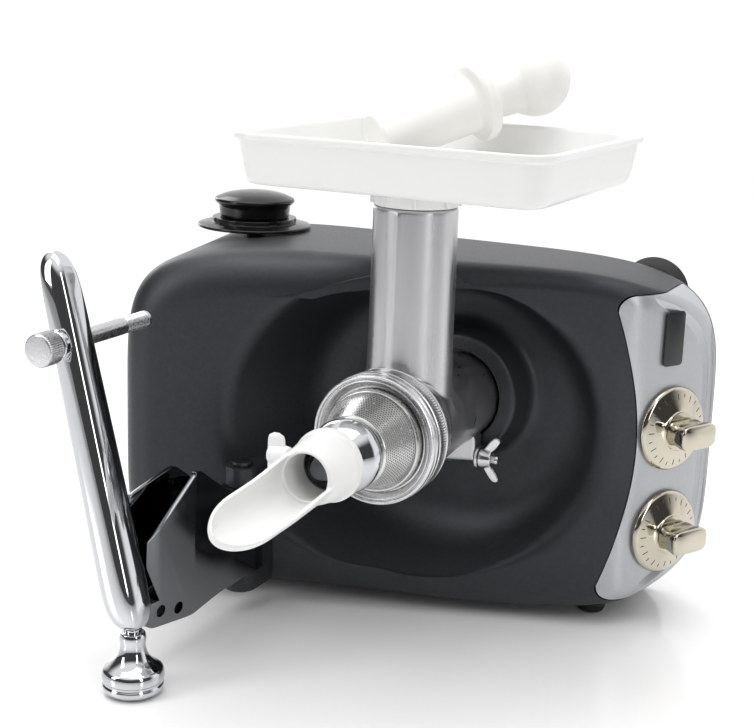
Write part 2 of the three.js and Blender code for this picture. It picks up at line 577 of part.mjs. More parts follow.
const makeLever = () => {
  const s = (PIN.z - ARM.low) / (ARM.top - ARM.low);
  const pinX = mix(ARM.footX, ARM.topX, s);
  const hole = solid(rod(5.3, -300, -100, 16).translate(pinX, 0, PIN.z));
  const socket = solid(alongZ(rod(4.3, -ARM.low - 14, -20, 14))
    .translate(ARM.footX, ARM.footY, 0));
  add('arm_lever', shapeOf(leverBody().subtract(hole).subtract(socket)), MAT.chrome);
  add('roller_pin', rod(5, PIN.rear, -214, 14), MAT.steel, [pinX, 0, PIN.z]);
  add('roller_collar', ring(5.3, 8.4, -212.6, -207.8, 16), MAT.chrome, [pinX, 0, PIN.z]);
  add('roller_knob', rod(9.4, -214.3, PIN.head, 20), MAT.steel, [pinX, 0, PIN.z]);
  const foot = [[0, ARM.low + 10], [4, ARM.low + 10], [4, ARM.low - 1], [8, ARM.low - 3],
    [7, 27], [9.5, 21], [16, 16], [17.5, 9], [17.5, 4], [14, 0], [0, 0]];
  add('arm_foot_knob', alongZ(lathe(foot.map(([r, z]) => [r, -z]), 20)), MAT.chrome,
    [ARM.footX, ARM.footY, 0]);
};

const makeLock = () => {
  const top = BODY.top + GAP;
  const flange = lathe([[7, top], [LOCK.flange, top], [LOCK.flange, top + 2.4],
    [LOCK.collar, top + 3.4], [LOCK.collar, top + 6.4], [7, top + 6.4], [7, top]]
    .map(([r, z]) => [r, -z]), 28);
  add('lock_flange', alongZ(flange), MAT.black, [LOCK.x, LOCK.y, 0]);
  const cap = top + 16;
  const knob = [[0, top - 18], [5.8, top - 18], [5.8, top + 6.8], [LOCK.neck, top + 6.8],
    [LOCK.neck + 1, cap - 1], [LOCK.cap, cap + 1], [LOCK.cap, cap + 3], [24, cap + 5.6],
    [12, cap + 8], [0, cap + 8.4]];
  add('lock_knob', alongZ(lathe(knob.map(([r, z]) => [r, -z]), 24)), MAT.black,
    [LOCK.x, LOCK.y, 0]);
};

makeHousing();
makeBadge();
makeBase();
makeInlet();
makeControls();
makeMotor();
makeDrive();
makeBarrel();
makeAuger();
makeClamp();
makeOutlet();
makeSpout();
makeTray();
makePusher();
makeArm();
makeLever();
makeLock();

assembly.position.set(-CENTRE.x, -CENTRE.y, 0);
export default assembly;
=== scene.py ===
"""Looks for the electric meat grinder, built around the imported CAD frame."""
import math

import bmesh
import bpy
from mathutils import Matrix, Vector


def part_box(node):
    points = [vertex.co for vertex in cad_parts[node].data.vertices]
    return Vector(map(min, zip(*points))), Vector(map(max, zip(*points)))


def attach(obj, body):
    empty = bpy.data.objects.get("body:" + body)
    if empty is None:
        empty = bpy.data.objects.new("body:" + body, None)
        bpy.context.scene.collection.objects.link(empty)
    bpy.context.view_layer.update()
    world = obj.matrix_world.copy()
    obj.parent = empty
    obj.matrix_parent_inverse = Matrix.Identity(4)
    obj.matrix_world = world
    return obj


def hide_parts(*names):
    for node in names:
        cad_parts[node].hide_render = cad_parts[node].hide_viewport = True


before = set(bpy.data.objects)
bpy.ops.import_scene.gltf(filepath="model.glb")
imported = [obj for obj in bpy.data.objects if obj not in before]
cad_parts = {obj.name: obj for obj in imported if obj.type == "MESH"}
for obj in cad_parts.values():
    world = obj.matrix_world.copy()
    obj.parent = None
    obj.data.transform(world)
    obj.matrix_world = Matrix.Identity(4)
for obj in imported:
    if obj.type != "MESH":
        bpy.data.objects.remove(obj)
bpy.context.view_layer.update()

# The design's own axes, in millimetres: x = 0 on the drive axis, y = 0 at the back of the
# grinder barrel with the viewer's side at minus y, z = 0 on the floor. REAR_Y is where the
# base plate starts.
MM = 0.001
REAR_Y = 75.3
GEAR_LOW, GEAR_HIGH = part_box("drive_gear")
PLATE_LOW, PLATE_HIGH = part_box("base_plate")
ORIGIN = Vector(((GEAR_LOW.x + GEAR_HIGH.x) / 2, PLATE_LOW.y - REAR_Y * MM, 0))
DRIVE_Z = (GEAR_LOW.z + GEAR_HIGH.z) / 2 / MM
TAU = 2 * math.pi


# ---- small maths ------------------------------------------------------------------------
def mix(a, b, t):
    return a + (b - a) * t


def unit(t):
    return min(max(t, 0), 1)


def smooth(t):
    t = unit(t)
    return t * t * (3 - 2 * t)


def power(v, n):
    return math.copysign(abs(v) ** (2 / n), v)


def soften(points, radii, steps=5, closed=False):
    """Rounds the corners of a line of points, each by its own radius."""
    if not hasattr(radii, "__len__"):
        radii = [radii] * len(points)
    points = [Vector(p) for p in points]
    result = []
    n = len(points)
    for i, here in enumerate(points):
        if not closed and i in (0, n - 1) or radii[i] == 0:
            result.append(here)
            continue
        a, b = points[i - 1] - here, points[(i + 1) % n] - here
        reach = min(radii[i], a.length * 0.48, b.length * 0.48)
        start, end = here + a.normalized() * reach, here + b.normalized() * reach
        for k in range(steps + 1):
            t = k / steps
            result.append(start * (1 - t) ** 2 + here * 2 * t * (1 - t) + end * t * t)
    return result


# ---- mesh builders ----------------------------------------------------------------------
def to_row(points):
    return [ORIGIN + Vector(p) * MM for p in points]


def finish_mesh(name, bm, angle=40):
    bmesh.ops.remove_doubles(bm, verts=bm.verts, dist=1e-7)
    bmesh.ops.recalc_face_normals(bm, faces=bm.faces)
    mesh = bpy.data.meshes.new(name)
    bm.to_mesh(mesh)
    bm.free()
    piece = bpy.data.objects.new(name, mesh)
    bpy.context.scene.collection.objects.link(piece)
    shade(piece, angle)
    return piece


def shade(piece, angle=40):
    for face in piece.data.polygons:
        face.use_smooth = True
    piece.data.set_sharp_from_angle(angle=math.radians(angle))


def loft(name, rows, loop=False, caps=True, angle=40):
    """Surface through rows of points in the design's millimetres."""
    bm = bmesh.new()
    made = [[bm.verts.new(p) for p in to_row(row)] for row in rows]
    n = len(rows[0])
    count = len(rows) if loop else len(rows) - 1
    for i in range(count):
        a, b = made[i], made[(i + 1) % len(rows)]
        for j in range(n):
            k = (j + 1) % n
            bm.faces.new((a[j], a[k], b[k], b[j]))
    if caps and not loop:
        bm.faces.new(made[0])
        bm.faces.new(made[-1])
    return finish_mesh(name, bm, angle)


def frame_for(axis):
    """Two directions square to an axis."""
    axis = Vector(axis).normalized()
    side = axis.cross(Vector((0, 0, 1)))
    if side.length < 0.1:
        side = Vector((1, 0, 0))
    side.normalize()
    return axis, side, side.cross(axis)


def lathe(name, profile, base, axis, segments=96, angle=40, ripple=None):
    """Turned piece: profile points are (radius, distance along the axis from base)."""
    axis, side, up = frame_for(axis)
    base = Vector(base)
    bm = bmesh.new()
    rings = []
    for i, (r, d) in enumerate(profile):
        ring = []
        for k in range(1 if r < 1e-6 else segments):
            t = TAU * k / segments
            grow = ripple(i, t, r) if ripple else 0
            p = base + axis * d + (side * math.cos(t) + up * math.sin(t)) * (r + grow)
            ring.append(bm.verts.new(ORIGIN + p * MM))
        rings.append(ring)
    for a, b in zip(rings, rings[1:]):
        for k in range(segments):
            m = (k + 1) % segments
            quad = [a[k % len(a)], a[m % len(a)], b[m % len(b)], b[k % len(b)]]
            corners = list(dict.fromkeys(quad))
            if len(corners) > 2:
                bm.faces.new(corners)
    return finish_mesh(name, bm, angle)


def extrude(name, outline, place, bevel=0.6, angle=35):
    """Flat outline given as pairs, placed by a function of (u, v, side)."""
    bm = bmesh.new()
    low = [bm.verts.new(ORIGIN + Vector(place(u, v, 0)) * MM) for u, v in outline]
    high = [bm.verts.new(ORIGIN + Vector(place(u, v, 1)) * MM) for u, v in outline]
    n = len(outline)
    for j in range(n):
        k = (j + 1) % n
        bm.faces.new((low[j], low[k], high[k], high[j]))
    bm.faces.new(low)
    bm.faces.new(high)
    piece = finish_mesh(name, bm, angle)
    if bevel:
        add_bevel(piece, bevel)
    return piece


def apply_modifiers(piece):
    bpy.context.view_layer.update()
    graph = bpy.context.evaluated_depsgraph_get()
    mesh = bpy.data.meshes.new_from_object(piece.evaluated_get(graph))
    piece.modifiers.clear()
    piece.data = mesh
    return piece


def add_bevel(piece, width, segments=3, limit=40):
    bevel = piece.modifiers.new("edge", "BEVEL")
    bevel.width = width * MM
    bevel.segments = segments
    bevel.limit_method = "ANGLE"
    bevel.angle_limit = math.radians(limit)
    bevel.harden_normals = False
    apply_modifiers(piece)
    shade(piece, 50)
    return piece


def combine(piece, other, operation="UNION"):
    boolean = piece.modifiers.new("cut", "BOOLEAN")
    boolean.operation = operation
    boolean.solver = "EXACT"
    boolean.object = other
    apply_modifiers(piece)
    bpy.data.objects.remove(other)
    return piece


def join(parts):
    """Puts several meshes in one piece, without cutting them."""
    bm = bmesh.new()
    for part in parts:
        bm.from_mesh(part.data)
    mesh = bpy.data.meshes.new(parts[0].name)
    bm.to_mesh(mesh)
    bm.free()
    for part in parts[1:]:
        bpy.data.objects.remove(part)
    parts[0].data = mesh
    shade(parts[0], 50)
    return parts[0]


def cast(piece, voxel, rounds):
    """Melts the joints of a piece together, as a mould leaves them."""
    remesh = piece.modifiers.new("melt", "REMESH")
    remesh.mode = "VOXEL"
    remesh.voxel_size = voxel * MM
    relax = piece.modifiers.new("relax", "SMOOTH")
    relax.iterations = rounds
    relax.factor = 0.5
    apply_modifiers(piece)
    for face in piece.data.polygons:
        face.use_smooth = True
    return piece


def rounded_box(name, centre, size, axes=None, radius=2.0):
    bm = bmesh.new()
    bmesh.ops.create_cube(bm, size=1)
    x, y, z = axes or (Vector((1, 0, 0)), Vector((0, 1, 0)), Vector((0, 0, 1)))
    for v in bm.verts:
        local = x * v.co.x * size[0] + y * v.co.y * size[1] + z * v.co.z * size[2]
        v.co = ORIGIN + (Vector(centre) + local) * MM
    piece = finish_mesh(name, bm)
    return add_bevel(piece, radius, 5)


# ---- materials --------------------------------------------------------------------------
def material(name, color, rough, metal=0.0, grain=400, bump=0.0, vary=0.04, tone=0.04,
             stretch=(1, 1, 1), coat=0.0, coat_rough=0.1, bump_grain=None, specular=0.5):
    mat = bpy.data.materials.new(name)
    mat.use_nodes = True
    tree = mat.node_tree
    nodes, links = tree.nodes, tree.links
    shader = nodes["Principled BSDF"]
    shader.inputs["Metallic"].default_value = metal
    shader.inputs["Coat Weight"].default_value = coat
    shader.inputs["Coat Roughness"].default_value = coat_rough
    shader.inputs["Specular IOR Level"].default_value = specular
    place = nodes.new("ShaderNodeTexCoord")
    mapping = nodes.new("ShaderNodeMapping")
    mapping.inputs["Scale"].default_value = stretch
    links.new(place.outputs["Object"], mapping.inputs["Vector"])

    def noise(scale, detail):
        node = nodes.new("ShaderNodeTexNoise")
        node.inputs["Scale"].default_value = scale
        node.inputs["Detail"].default_value = detail
        links.new(mapping.outputs["Vector"], node.inputs["Vector"])
        return node

    def ramp(source, low, high):
        node = nodes.new("ShaderNodeMapRange")
        node.inputs["From Min"].default_value = 0.3
        node.inputs["From Max"].default_value = 0.7
        node.inputs["To Min"].default_value = low
        node.inputs["To Max"].default_value = high
        links.new(source.outputs["Fac"], node.inputs["Value"])
        return node

    worn = noise(grain, 5)
    tint = nodes.new("ShaderNodeMix")
    tint.data_type = "RGBA"
    tint.inputs[6].default_value = (*[max(c * (1 - tone), 0) for c in color], 1)
    tint.inputs[7].default_value = (*[min(c * (1 + tone), 1) for c in color], 1)
    links.new(noise(grain * 0.35, 4).outputs["Fac"], tint.inputs[0])
    links.new(tint.outputs[2], shader.inputs["Base Color"])
    spread = ramp(worn, max(rough - vary, 0.01), rough + vary)
    links.new(spread.outputs["Result"], shader.inputs["Roughness"])
    if bump:
        height = nodes.new("ShaderNodeBump")
        height.inputs["Strength"].default_value = bump
        height.inputs["Distance"].default_value = 0.0002
        links.new(noise(bump_grain or grain * 3, 3).outputs["Fac"], height.inputs["Height"])
        links.new(height.outputs["Normal"], shader.inputs["Normal"])
    return mat


MATS = {
    "paint": material("charcoal_paint", (0.040, 0.043, 0.048), 0.42, 0.55, grain=1100, bump=0.3,
                      vary=0.05, tone=0.22, bump_grain=2800),
    "silver": material("silver_paint", (0.50, 0.51, 0.53), 0.38, 0.65, grain=1500, bump=0.1,
                       vary=0.05, tone=0.06, bump_grain=3500),
    "chrome": material("chrome", (0.60, 0.61, 0.63), 0.06, 1, grain=60, vary=0.02, tone=0.02),
    "dark_chrome": material("dark_chrome", (0.17, 0.175, 0.185), 0.10, 1, grain=60, vary=0.03,
                            tone=0.04),
    "nickel": material("nickel", (0.56, 0.52, 0.43), 0.07, 1, grain=80, vary=0.03, tone=0.04),
    "cast": material("cast_aluminium", (0.56, 0.56, 0.57), 0.33, 1, grain=160, bump=0.04,
                     vary=0.07, tone=0.10, stretch=(1, 1, 0.12)),
    "turned": material("turned_aluminium", (0.66, 0.66, 0.67), 0.26, 1, grain=300, bump=0.06,
                       vary=0.07, tone=0.08, stretch=(0.2, 1, 0.2)),
    "steel": material("steel", (0.56, 0.56, 0.57), 0.30, 1, grain=500, bump=0.08, vary=0.08,
                      tone=0.08),
    "sieve": material("sieve_steel", (0.60, 0.60, 0.59), 0.22, 1, grain=500, vary=0.06, tone=0.06),
    "zinc": material("zinc", (0.68, 0.68, 0.70), 0.20, 1, grain=300, bump=0.12, vary=0.08,
                     tone=0.08),
    "white": material("white_plastic", (0.84, 0.84, 0.83), 0.33, 0, grain=200, bump=0.03,
                      vary=0.05, tone=0.012, coat=0.15),
    "warm_white": material("pusher_plastic", (0.86, 0.85, 0.82), 0.40, 0, grain=150, bump=0.05,
                           vary=0.05, tone=0.015),
    "black": material("black_plastic", (0.012, 0.012, 0.013), 0.30, 0, grain=500, bump=0.08,
                      vary=0.06, tone=0.15, bump_grain=1800),
    "gloss_black": material("gloss_black", (0.006, 0.006, 0.006), 0.2, 0, grain=300, bump=0.03,
                            vary=0.04, tone=0.1, specular=0.35),
    "badge": material("badge_gloss", (0.01, 0.01, 0.011), 0.12, 0, grain=200, vary=0.03,
                      tone=0.1),
    "rubber": material("rubber", (0.018, 0.018, 0.018), 0.65, 0, grain=700, bump=0.2, vary=0.08,
                       tone=0.2),
    "copper": material("windings", (0.45, 0.20, 0.09), 0.35, 0.8, grain=300, bump=0.3,
                       stretch=(8, 1, 1)),
    "nylon": material("nylon", (0.66, 0.63, 0.52), 0.45, 0, grain=200, bump=0.04),
    "board": material("circuit_board", (0.02, 0.12, 0.05), 0.4, 0, grain=500, bump=0.1),
    "ink": material("dial_ink", (0.05, 0.045, 0.04), 0.4, 0, grain=400),
}


def dress(piece, look):
    piece.data.materials.clear()
    piece.data.materials.append(MATS[look])
    return piece


def place_piece(piece, look, body, slot, *nodes):
    dress(piece, look)
    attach(piece, body)
    if nodes:
        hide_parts(*nodes)
    return piece


# ---- housing ------------------------------------------------------------------------------
BACK_Y = 75
BODY = {"left": -238, "left_front": -196, "right": 143, "bottom": 7, "top": 225.5, "wall": 3,
        "mid_x": -40, "mid_z": 116, "corner": 5, "edge": 26}
FACE = {"x": 110, "y": 16, "slope": 0.34, "panel_slope": 1.8, "panel_back": 70, "crease": 7}
DISH = {"x": -18, "z": 121, "rx": 111, "rz": 98.5, "floor_x": -12, "floor_z": 128,
        "floor_rx": 86, "floor_rz": 80, "floor_y": 22}
BOSS = {"hole": 29, "outer": 39, "foot": 43, "front": -3}
PANEL = {"arc_x": 110.5, "arc_z": 117, "arc_r": 250, "low": 17, "high": 212, "corner": 10}


def face_y(x):
    """Height of the front face: two slopes that meet in a soft crease, and a flat back."""
    a = FACE["y"] + FACE["slope"] * (x - FACE["x"])
    b = FACE["y"] + FACE["panel_slope"] * (x - FACE["x"])
    front = (a + b + math.sqrt((a - b) ** 2 + FACE["crease"] ** 2)) / 2
    gap = front - FACE["panel_back"]
    return (front + FACE["panel_back"] - math.sqrt(gap * gap + 9)) / 2


def oval(turn, x, z, rx, rz):
    r = 1 / math.hypot(math.cos(turn) / rx, math.sin(turn) / rz)
    return x + r * math.cos(turn), z + r * math.sin(turn)


def outline(turn, y, inset=0):
    """Point of the housing's edge in one direction from its middle, at a given depth."""
    forward = (BACK_Y - y) / (BACK_Y - face_y(BODY["left_front"]))
    left = mix(BODY["left"], BODY["left_front"], min(forward, 1))
    c, s = math.cos(turn), math.sin(turn)
    side = (BODY["mid_x"] - left if c < 0 else BODY["right"] - BODY["mid_x"]) - inset
    half = (BODY["top"] - BODY["bottom"]) / 2 - inset
    n = BODY["corner"]
    r = (abs(c / side) ** n + abs(s / half) ** n) ** (-1 / n)
    return BODY["mid_x"] + r * c, BODY["mid_z"] + r * s


def wall_section(turn):
    """The housing's wall in one direction: drive hole, dish, rim, round edge and inside."""
    def at(p, y):
        return Vector((p[0], y, p[1]))

    def face(p):
        return at(p, face_y(p[0]))

    rim = oval(turn, DISH["x"], DISH["z"], DISH["rx"], DISH["rz"])
    flat = outline(turn, 0)
    room = math.dist(flat, rim)
    edge = min(mix(BODY["edge"], 9, max(math.cos(turn), 0) ** 0.5), 0.8 * room)
    shoulder = outline(turn, face_y(flat[0]), edge)
    front = face_y(shoulder[0])
    floor = oval(turn, DISH["floor_x"], DISH["floor_z"], DISH["floor_rx"], DISH["floor_rz"])
    floor_y = DISH["floor_y"]

    def boss(r):
        return oval(turn, 0, DRIVE_Z, r, r)

    front_line = [at(boss(BOSS["hole"]), 8), at(boss(BOSS["hole"]), BOSS["front"]),
                  at(boss(BOSS["outer"]), BOSS["front"]), at(boss(BOSS["foot"]), floor_y),
                  at(floor, floor_y), face(rim),
                  face([mix(a, b, 0.5) for a, b in zip(rim, shoulder)])]
    line = soften(front_line, [0, 1.2, 3.5, 9, 34, 9, 0], 7)
    for k in range(1, 5):
        line.append(face([mix(a, b, 0.5 + k / 10) for a, b in zip(rim, shoulder)]))
    for k in range(13):
        bend = math.pi / 2 * k / 12
        inset = edge * (1 - math.sin(bend))
        y = face_y(outline(turn, front, inset)[0]) + edge * (1 - math.cos(bend))
        y = min(y, BACK_Y - 2 + k / 12)
        line.append(at(outline(turn, y, inset), y))
    last_y = line[-1].y
    for k in range(1, 6):
        y = mix(last_y, BACK_Y, k / 5)
        line.append(at(outline(turn, y), y))
    wall = BODY["wall"]
    inner = min(front + edge + 1, BACK_Y - 2)
    line += [at(outline(turn, BACK_Y, wall), BACK_Y), at(outline(turn, inner, wall), inner),
             at(oval(turn, DISH["x"], DISH["z"], DISH["rx"] + 2.5, DISH["rz"] + 2.5),
                face_y(rim[0]) + 6),
             at(oval(turn, DISH["floor_x"], DISH["floor_z"], DISH["floor_rx"] + 3,
                     DISH["floor_rz"] + 3), floor_y + wall),
             at(boss(BOSS["hole"]), floor_y + wall)]
    return line


def panel_zone(shrink):
    """Everything to the right of the curved seam, between the top and bottom borders."""
    low, high, c = PANEL["low"] + shrink, PANEL["high"] - shrink, PANEL["corner"]

    def seam(z):
        return PANEL["arc_x"] + shrink - (z - PANEL["arc_z"]) ** 2 / (2 * PANEL["arc_r"])

    points = [(200, low), (200, high)]
    for k in range(9):
        a = math.pi / 2 * k / 8
        points.append((seam(high - c) + c * (1 - math.sin(a)), high - c * (1 - math.cos(a))))
    for k in range(1, 40):
        z = mix(high - c, low + c, k / 40)
        points.append((seam(z), z))
    for k in range(8, -1, -1):
        a = math.pi / 2 * k / 8
        points.append((seam(low + c) + c * (1 - math.sin(a)), low + c * (1 - math.cos(a))))
    return extrude("zone", points, lambda u, v, side: (u, 150 - 300 * side, v), bevel=0)


def make_housing():
    sections = [wall_section(TAU * k / 400) for k in range(400)]
    shell = loft("upper_housing_shell", list(zip(*sections)), loop=True, angle=70)
    panel = shell.copy()
    panel.data = shell.data.copy()
    bpy.context.scene.collection.objects.link(panel)
    combine(panel, panel_zone(0.35), "INTERSECT")
    combine(shell, panel_zone(-0.35), "DIFFERENCE")
    for piece, look, body_slot, node in ((shell, "paint", "paint", "upper_housing"),
                                         (panel, "silver", "silver_paint", "control_panel")):
        shade(piece, 38)
        piece.name = node + "_skin"
        place_piece(piece, look, "machine", body_slot, node)


PANEL_OUT = Vector((FACE["panel_slope"], -1, 0)).normalized()
PANEL_ALONG = Vector((1, FACE["panel_slope"], 0)).normalized()


def on_panel(y, z):
    return Vector((FACE["x"] + (y - FACE["y"]) / FACE["panel_slope"], y, z))


def rounded_outline(half_u, half_v, corner, steps=8):
    corners = [(half_u, half_v), (-half_u, half_v), (-half_u, -half_v), (half_u, -half_v)]
    return [tuple(p) for p in soften(corners, corner, steps, closed=True)]


def make_badge():
    middle = on_panel(40, 184) + PANEL_OUT * 0.4

    def place(u, v, side):
        return middle + PANEL_ALONG * u + Vector((0, 0, v)) + PANEL_OUT * (1.4 * side)

    plate = extrude("badge_plate_gloss", rounded_outline(8, 17, 3.2), place, bevel=0.4)
    place_piece(plate, "badge", "machine", "badge_black", "badge_plate")


# ---- controls -----------------------------------------------------------------------------
KNOB = {"y": 43.5, "speed": 127, "timer": 60, "skirt": 26.5, "base": 0.7, "hub": 8.6,
        "long": 14.4, "tall": 7.8, "top": 25}


def skirt_lift(r):
    """Height of the skirt's dished face above the panel."""
    return mix(KNOB["hub"] - 1, KNOB["base"] + 3, unit((r - 13) / 12) ** 0.8)


def make_controls():
    up = Vector((0, 0, 1))
    for name, z in (("speed", KNOB["speed"]), ("timer", KNOB["timer"])):
        middle = on_panel(KNOB["y"], z)
        base, hub, r = KNOB["base"], KNOB["hub"], KNOB["skirt"]
        profile = [Vector(p) for p in ((5, base), (r - 0.3, base), (r, base + 0.3),
                                       (r, base + 1.3), (r - 0.4, base + 1.9))]
        profile += [Vector((q, skirt_lift(q))) for q in [25 - 0.75 * k for k in range(17)]]
        profile += soften([(12.6, hub - 0.8), (12, hub), (5, hub)], [0, 0.6, 0], 4)
        profile.append(Vector((5, base)))
        skirt = lathe(name + "_skirt_dish", profile, middle, PANEL_OUT, 128, 50)
        place_piece(skirt, "nickel", "machine", "nickel", name + "_skirt")
        long, tall, top = KNOB["long"], KNOB["tall"], KNOB["top"]
        rows = []
        for k in range(29):
            s = k / 28
            cap = (1 - abs(2 * s - 1) ** 12) ** 0.5
            waist = 1 - 0.13 * math.sin(math.pi * min(s / 0.8, 1)) ** 2
            u, v = long * mix(0.93, 1, cap) * mix(0.92, 1, s), tall * mix(0.86, 1, cap) * waist
            rows.append([middle + PANEL_OUT * mix(hub + 1.2, top, s)
                         + PANEL_ALONG * (u * power(math.cos(a), 5))
                         + up * (v * power(math.sin(a), 3.6))
                         for a in [TAU * i / 96 for i in range(96)]])
        knob = loft(name + "_knob_bar", rows, angle=50)
        neck = soften([(0, hub + 0.4), (7.4, hub + 0.4), (6.8, hub + 3.4), (0, hub + 3.4)],
                      [0, 0.5, 0.3, 0], 4)
        combine(knob, lathe("neck", neck, middle, PANEL_OUT, 64, 50))
        shade(knob, 50)
        place_piece(knob, "nickel", name + "_control", "nickel", name + "_knob")
        make_dial_marks(name, middle)


MARK = {"count": 24, "short": 20.6, "long": 19, "outer": 22.8, "half": 0.28, "lift": 0.06,
        "thick": 0.05}


def make_dial_marks(name, middle):
    """Short printed strokes near the skirt's edge, every other one longer."""
    bm = bmesh.new()
    up = Vector((0, 0, 1))
    for k in range(MARK["count"]):
        a = TAU * k / MARK["count"]
        ray = PANEL_ALONG * math.cos(a) + up * math.sin(a)
        across = PANEL_OUT.cross(ray)
        inner = MARK["short"] if k % 2 else MARK["long"]
        rows = []
        for j in range(4):
            r = mix(inner, MARK["outer"], j / 3)
            rows.append([bm.verts.new(ORIGIN + (middle + ray * r + across * side
                                                + PANEL_OUT * (skirt_lift(r) + MARK["lift"])) * MM)
                         for side in (-MARK["half"], MARK["half"])])
        for a_row, b_row in zip(rows, rows[1:]):
            bm.faces.new((a_row[0], a_row[1], b_row[1], b_row[0]))
    marks = finish_mesh(name + "_dial_marks", bm)
    thick = marks.modifiers.new("thick", "SOLIDIFY")
    thick.thickness = MARK["thick"] * MM
    apply_modifiers(marks)
    place_piece(marks, "ink", "machine", "black_plastic")


# ---- underside and back ---------------------------------------------------------------------
def make_base():
    rows = []
    for inset, y in ((3, 75.3), (0.5, 75.3), (0, 76), (0, 79), (0.6, 80), (2, 80.3), (4, 80.3)):
        row = []
        for k in range(300):
            x, z = outline(TAU * k / 300, BACK_Y, inset + 0.4)
            row.append((x, y, z))
        rows.append(row)
    plate = loft("base_plate_moulding", rows, angle=50)
    place_piece(plate, "black", "machine", "black_plastic", "base_plate")
    for i in range(1, 5):
        low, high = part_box(f"suction_foot_{i}")
        middle = (low + high) / 2 - ORIGIN
        base = Vector((middle.x / MM, 0, middle.z / MM))
        cup = soften([(0, 80.6), (9, 80.6), (11, 84.3), (18, 87), (22.9, 94.2), (21.6, 94.9),
                      (14, 89.6), (0, 88.3)], [0, 1, 3, 4, 0.8, 0.8, 4, 0], 5)
        foot = lathe(f"suction_foot_{i}_cup", cup, base, (0, 1, 0), 96, 50)
        place_piece(foot, "rubber", "machine", "rubber", f"suction_foot_{i}")
        low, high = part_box(f"base_screw_{i}")
        spot = (low + high) / 2 - ORIGIN
        line = soften([(0, 66), (2.2, 66), (2.2, 80.6), (4.4, 80.6), (4.1, 82.4), (0, 83.1)],
                      [0, 0.3, 0, 0.4, 1.4, 0], 4)
        screw = lathe(f"base_screw_{i}_head", line, (spot.x / MM, 0, spot.z / MM), (0, 1, 0), 48)
        for turn in (0.3, 0.3 + math.pi / 2):
            side = Vector((math.cos(turn), 0, math.sin(turn)))
            cutter = rounded_box("slot", (spot.x / MM, 83.1, spot.z / MM), (4.6, 2.2, 0.9),
                                 (side, Vector((0, 1, 0)), side.cross(Vector((0, 1, 0)))), 0.1)
            combine(screw, cutter, "DIFFERENCE")
        place_piece(screw, "steel", "machine", "steel", f"base_screw_{i}")
    for side in ("left", "right"):
        low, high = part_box(f"rest_pad_{side}")
        middle = (low + high) / 2 - ORIGIN
        line = soften([(0, 0), (8, 0), (10, 5.7), (9, 6.7), (0, 6.7)], [0, 1, 1, 0.4, 0], 4)
        pad = lathe(f"rest_pad_{side}_rubber", line, (middle.x / MM, middle.y / MM, 0), (0, 0, 1))
        place_piece(pad, "rubber", "machine", "rubber", f"rest_pad_{side}")
    low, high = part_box("power_inlet")
    middle = ((low + high) / 2 - ORIGIN) / MM
    inlet = rounded_box("power_inlet_socket", middle, (28, 12, 18), radius=1.6)
    combine(inlet, rounded_box("well", middle + Vector((0, 4, 0)), (22, 12, 12), radius=1),
            "DIFFERENCE")
    place_piece(inlet, "black", "machine", "black_plastic", "power_inlet")


# ---- lock ---------------------------------------------------------------------------------
LOCK = {"place": (-168, 34, 0), "top": 225.8, "flange": 38, "collar": 28.4, "neck": 23.3,
        "cap": 27, "notches": 8}


def make_lock():
    place, top, notches = LOCK["place"], LOCK["top"], LOCK["notches"]
    flange_r, collar = LOCK["flange"], LOCK["collar"]
    line = soften([(7, top), (flange_r, top), (flange_r, top + 1.8), (30, top + 3.4),
                   (collar, top + 3.4), (collar, top + 6.4), (7, top + 6.4)],
                  [0, 0.4, 1, 2, 0.5, 0.6, 0], 5)
    line.append(Vector((7, top)))
    flange = lathe("lock_flange_cover", line, place, (0, 0, 1), 144)
    for k in range(notches):
        turn = TAU * (k + 0.25) / notches
        ray = Vector((math.cos(turn), math.sin(turn), 0))
        notch = rounded_box("notch", Vector(place) + ray * 28.6 + Vector((0, 0, top + 5.4)),
                            (1.6, 6, 3), (ray, Vector((0, 0, 1)).cross(ray), Vector((0, 0, 1))), 0.3)
        combine(flange, notch, "DIFFERENCE")
    shade(flange, 40)
    place_piece(flange, "gloss_black", "machine", "black_plastic", "lock_flange")
    cap = top + 16
    line = soften([(0, top - 18), (5.8, top - 18), (5.8, top + 6.8), (LOCK["neck"], top + 6.8),
                   (24, cap - 1.6), (26.6, cap + 0.6), (LOCK["cap"], cap + 2), (26.4, cap + 3.2),
                   (20, cap + 6), (11, cap + 7.8), (0, cap + 8.4)],
                  [0, 0.4, 0, 0.8, 2, 0.8, 0.8, 1.4, 5, 6, 0], 6)
    knob = lathe("lock_knob_cap", line, place, (0, 0, 1), 144, 50)
    place_piece(knob, "gloss_black", "lock", "black_plastic", "lock_knob")


# ---- grinder ------------------------------------------------------------------------------
AXIS = (0, 0, DRIVE_Z)
OUT = (0, 1, 0)
TUBE_Y = -74.5


